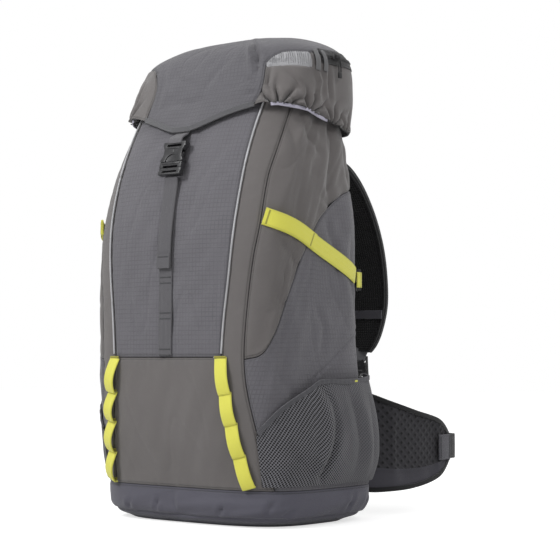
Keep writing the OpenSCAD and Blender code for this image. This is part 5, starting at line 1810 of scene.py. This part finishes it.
def make_hip_buckle():
    body = box((44, 13, 54), (0, 0, 0))
    carve(body, cuts=[rod(17, 40, (2, 0, 38)), rod(17, 40, (2, 0, -38)), box((34, 8, 47), (-7.5, 0, 0)),
        box((4.4, 30, 39), (17.0, 0, 0))], bevel=1.5)
    ridge = block((16, 1.6, 10), (-2, 6.6, 0), 0.7)
    hard(together([body, ridge]), "waist_socket", "hip_left", ["hip_buckle_socket"], "plastic",
        place=(80, BELT_Y, BELT_Z), flip=-1)
    plug = box((22, 10, 52), (11, 0, 0))
    carve(plug, cuts=[box((4.4, 30, 39), (7.5, 0, 0)), box((4.4, 30, 39), (16, 0, 0))], bevel=1.3)
    parts = [plug]
    for z, wide in ((-17, 6), (0, 5), (17, 6)):
        parts.append(block((22.4, 6, wide), (-11, 0, z), 1.1))
    for s in (-1, 1):
        parts.append(block((6, 6, 5), (-18.6, 0, s * 19.4), 1.2))
    hard(together(parts), "waist_plug", "hip_right", ["hip_buckle_plug"], "plastic",
        place=(80, BELT_Y, BELT_Z))


STERNUM_Y, STERNUM_Z = 225, 308


def make_sternum(side, word, flip):
    body = f"sternum_{word}"
    slider = carve(box((30, 6, 18), (84, STERNUM_Y, STERNUM_Z)),
        cuts=[box((20, 30, 4), (84, STERNUM_Y, STERNUM_Z)), box((40, 3, 8),
        (84, STERNUM_Y - 3.5, STERNUM_Z))], bevel=1.0)
    hard(slider, f"sternum_slider_{word}", body, [f"sternum_strap_{word}"], "plastic", flip=side)
    soft = Soft()
    route = smooth_route([[32, 225, 308], [50, 225.4, 308], [60, 225.2, 308], [70, 225, 308]], 2.0)
    add_strap(soft, route * flip, [0, 1.0, 0], 18, 1.8, 0, 0.2)
    add_strap(soft, (route[-12:] + array([0, 2.2, 0])) * flip, [0, 1.0, 0], 17.5, 1.5, 0, 0.2)
    add_tack(soft, (route[-8] + array([0, 3.3, 0])) * flip, [0, 0, 1], [0, 1, 0], 14, 2.2, 1)
    soft.make(f"sternum_web_{word}", body, ["black_web_narrow", "dark_thread"], [f"sternum_strap_{word}"],
        "black_webbing")
    if side > 0:
        plug = carve(box((12, 7, 24), (29.5, STERNUM_Y, STERNUM_Z)),
            cuts=[box((3, 30, 18.5), (32.5, STERNUM_Y, STERNUM_Z))], bevel=0.9)
        parts = [plug] + [block((13, 3.8, 3.8), (17, STERNUM_Y, STERNUM_Z + 7 * s), 0.7) for s in (-1, 1)]
        hard(together(parts), "sternum_plug", body, ["sternum_buckle_plug"], "plastic")
    else:
        socket = carve(box((23, 8, 26), (24, STERNUM_Y, STERNUM_Z)),
            cuts=[box((20, 5, 19), (20, STERNUM_Y, STERNUM_Z)), box((3, 30, 18.5),
            (33, STERNUM_Y, STERNUM_Z)), rod(9, 40, (22, STERNUM_Y, STERNUM_Z + 20)),
            rod(9, 40, (22, STERNUM_Y, STERNUM_Z - 20))], bevel=0.9)
        hard(socket, "sternum_socket", body, ["sternum_buckle_socket"], "plastic", flip=-1)


def make_zip_and_cord():
    runner = block((4, 14, 9), (164, 37, 649), 1.2)
    bridge = carve(box((3, 9, 5), (167, 37, 649)), cuts=[box((1.4, 20, 2.6), (166.9, 37, 649))], bevel=0.5)
    hard(together([runner, bridge]), "zip_runner", "zip_slider", ["zip_slider"], "plastic")
    loop = [[170.2, 37, 647.4], [170.4, 38.8, 640], [170.6, 39.4, 632], [170.6, 38.6, 624],
        [170.6, 35.4, 624], [170.6, 34.6, 632], [170.4, 35.2, 640], [170.2, 37, 647.0]]
    grip = block((3, 7.4, 9), (170.6, 37, 623), 1.2)
    grip = hard(grip, "zip_grip", "zip_pull", ["zip_pull"], "plastic")
    make_cord("zip_cord", smooth_route(loop, 1.2), 0.95, "zip_pull", ["zip_black"], "zip_pull")
    barrel = carve(rod(8, 19, (0.5, -38, 578), ALONG_X, 48), cuts=[rod(5.5, 20, (3, -38, 578), ALONG_X, 48),
        box((9, 4.4, 24), (0, -38, 578))], bevel=0.8)
    hard(barrel, "lock_barrel", "cord_lock", ["cord_lock_barrel"], "plastic")
    button = carve(rod(5.2, 20, (7.5, -38, 578), ALONG_X, 48), cuts=[box((14, 4.4, 24), (2, -38, 578))],
        bevel=0.9)
    hard(button, "lock_button", "cord_button", ["cord_lock_button"], "grey_plastic")


def paint_cad_nodes():
    """CAD nodes whose own shape is right only take a finish."""
    for node, paint in (("frame_sheet", "sheet_plastic"), ("stays", "metal")):
        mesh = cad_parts[node].data
        mesh.materials.clear()
        mesh.materials.append(PAINTS[paint])


# ---- the whole scene

make_camera()
make_floor()
make_light()
make_paints()

make_bag()
make_piping()
make_chains()
make_front_straps()
make_compression()
make_pockets()
make_lid()
make_tab_strap()
make_inside()
make_shoulders()
make_wings()
make_back_padding()
make_joins()
make_fittings()
paint_cad_nodes()
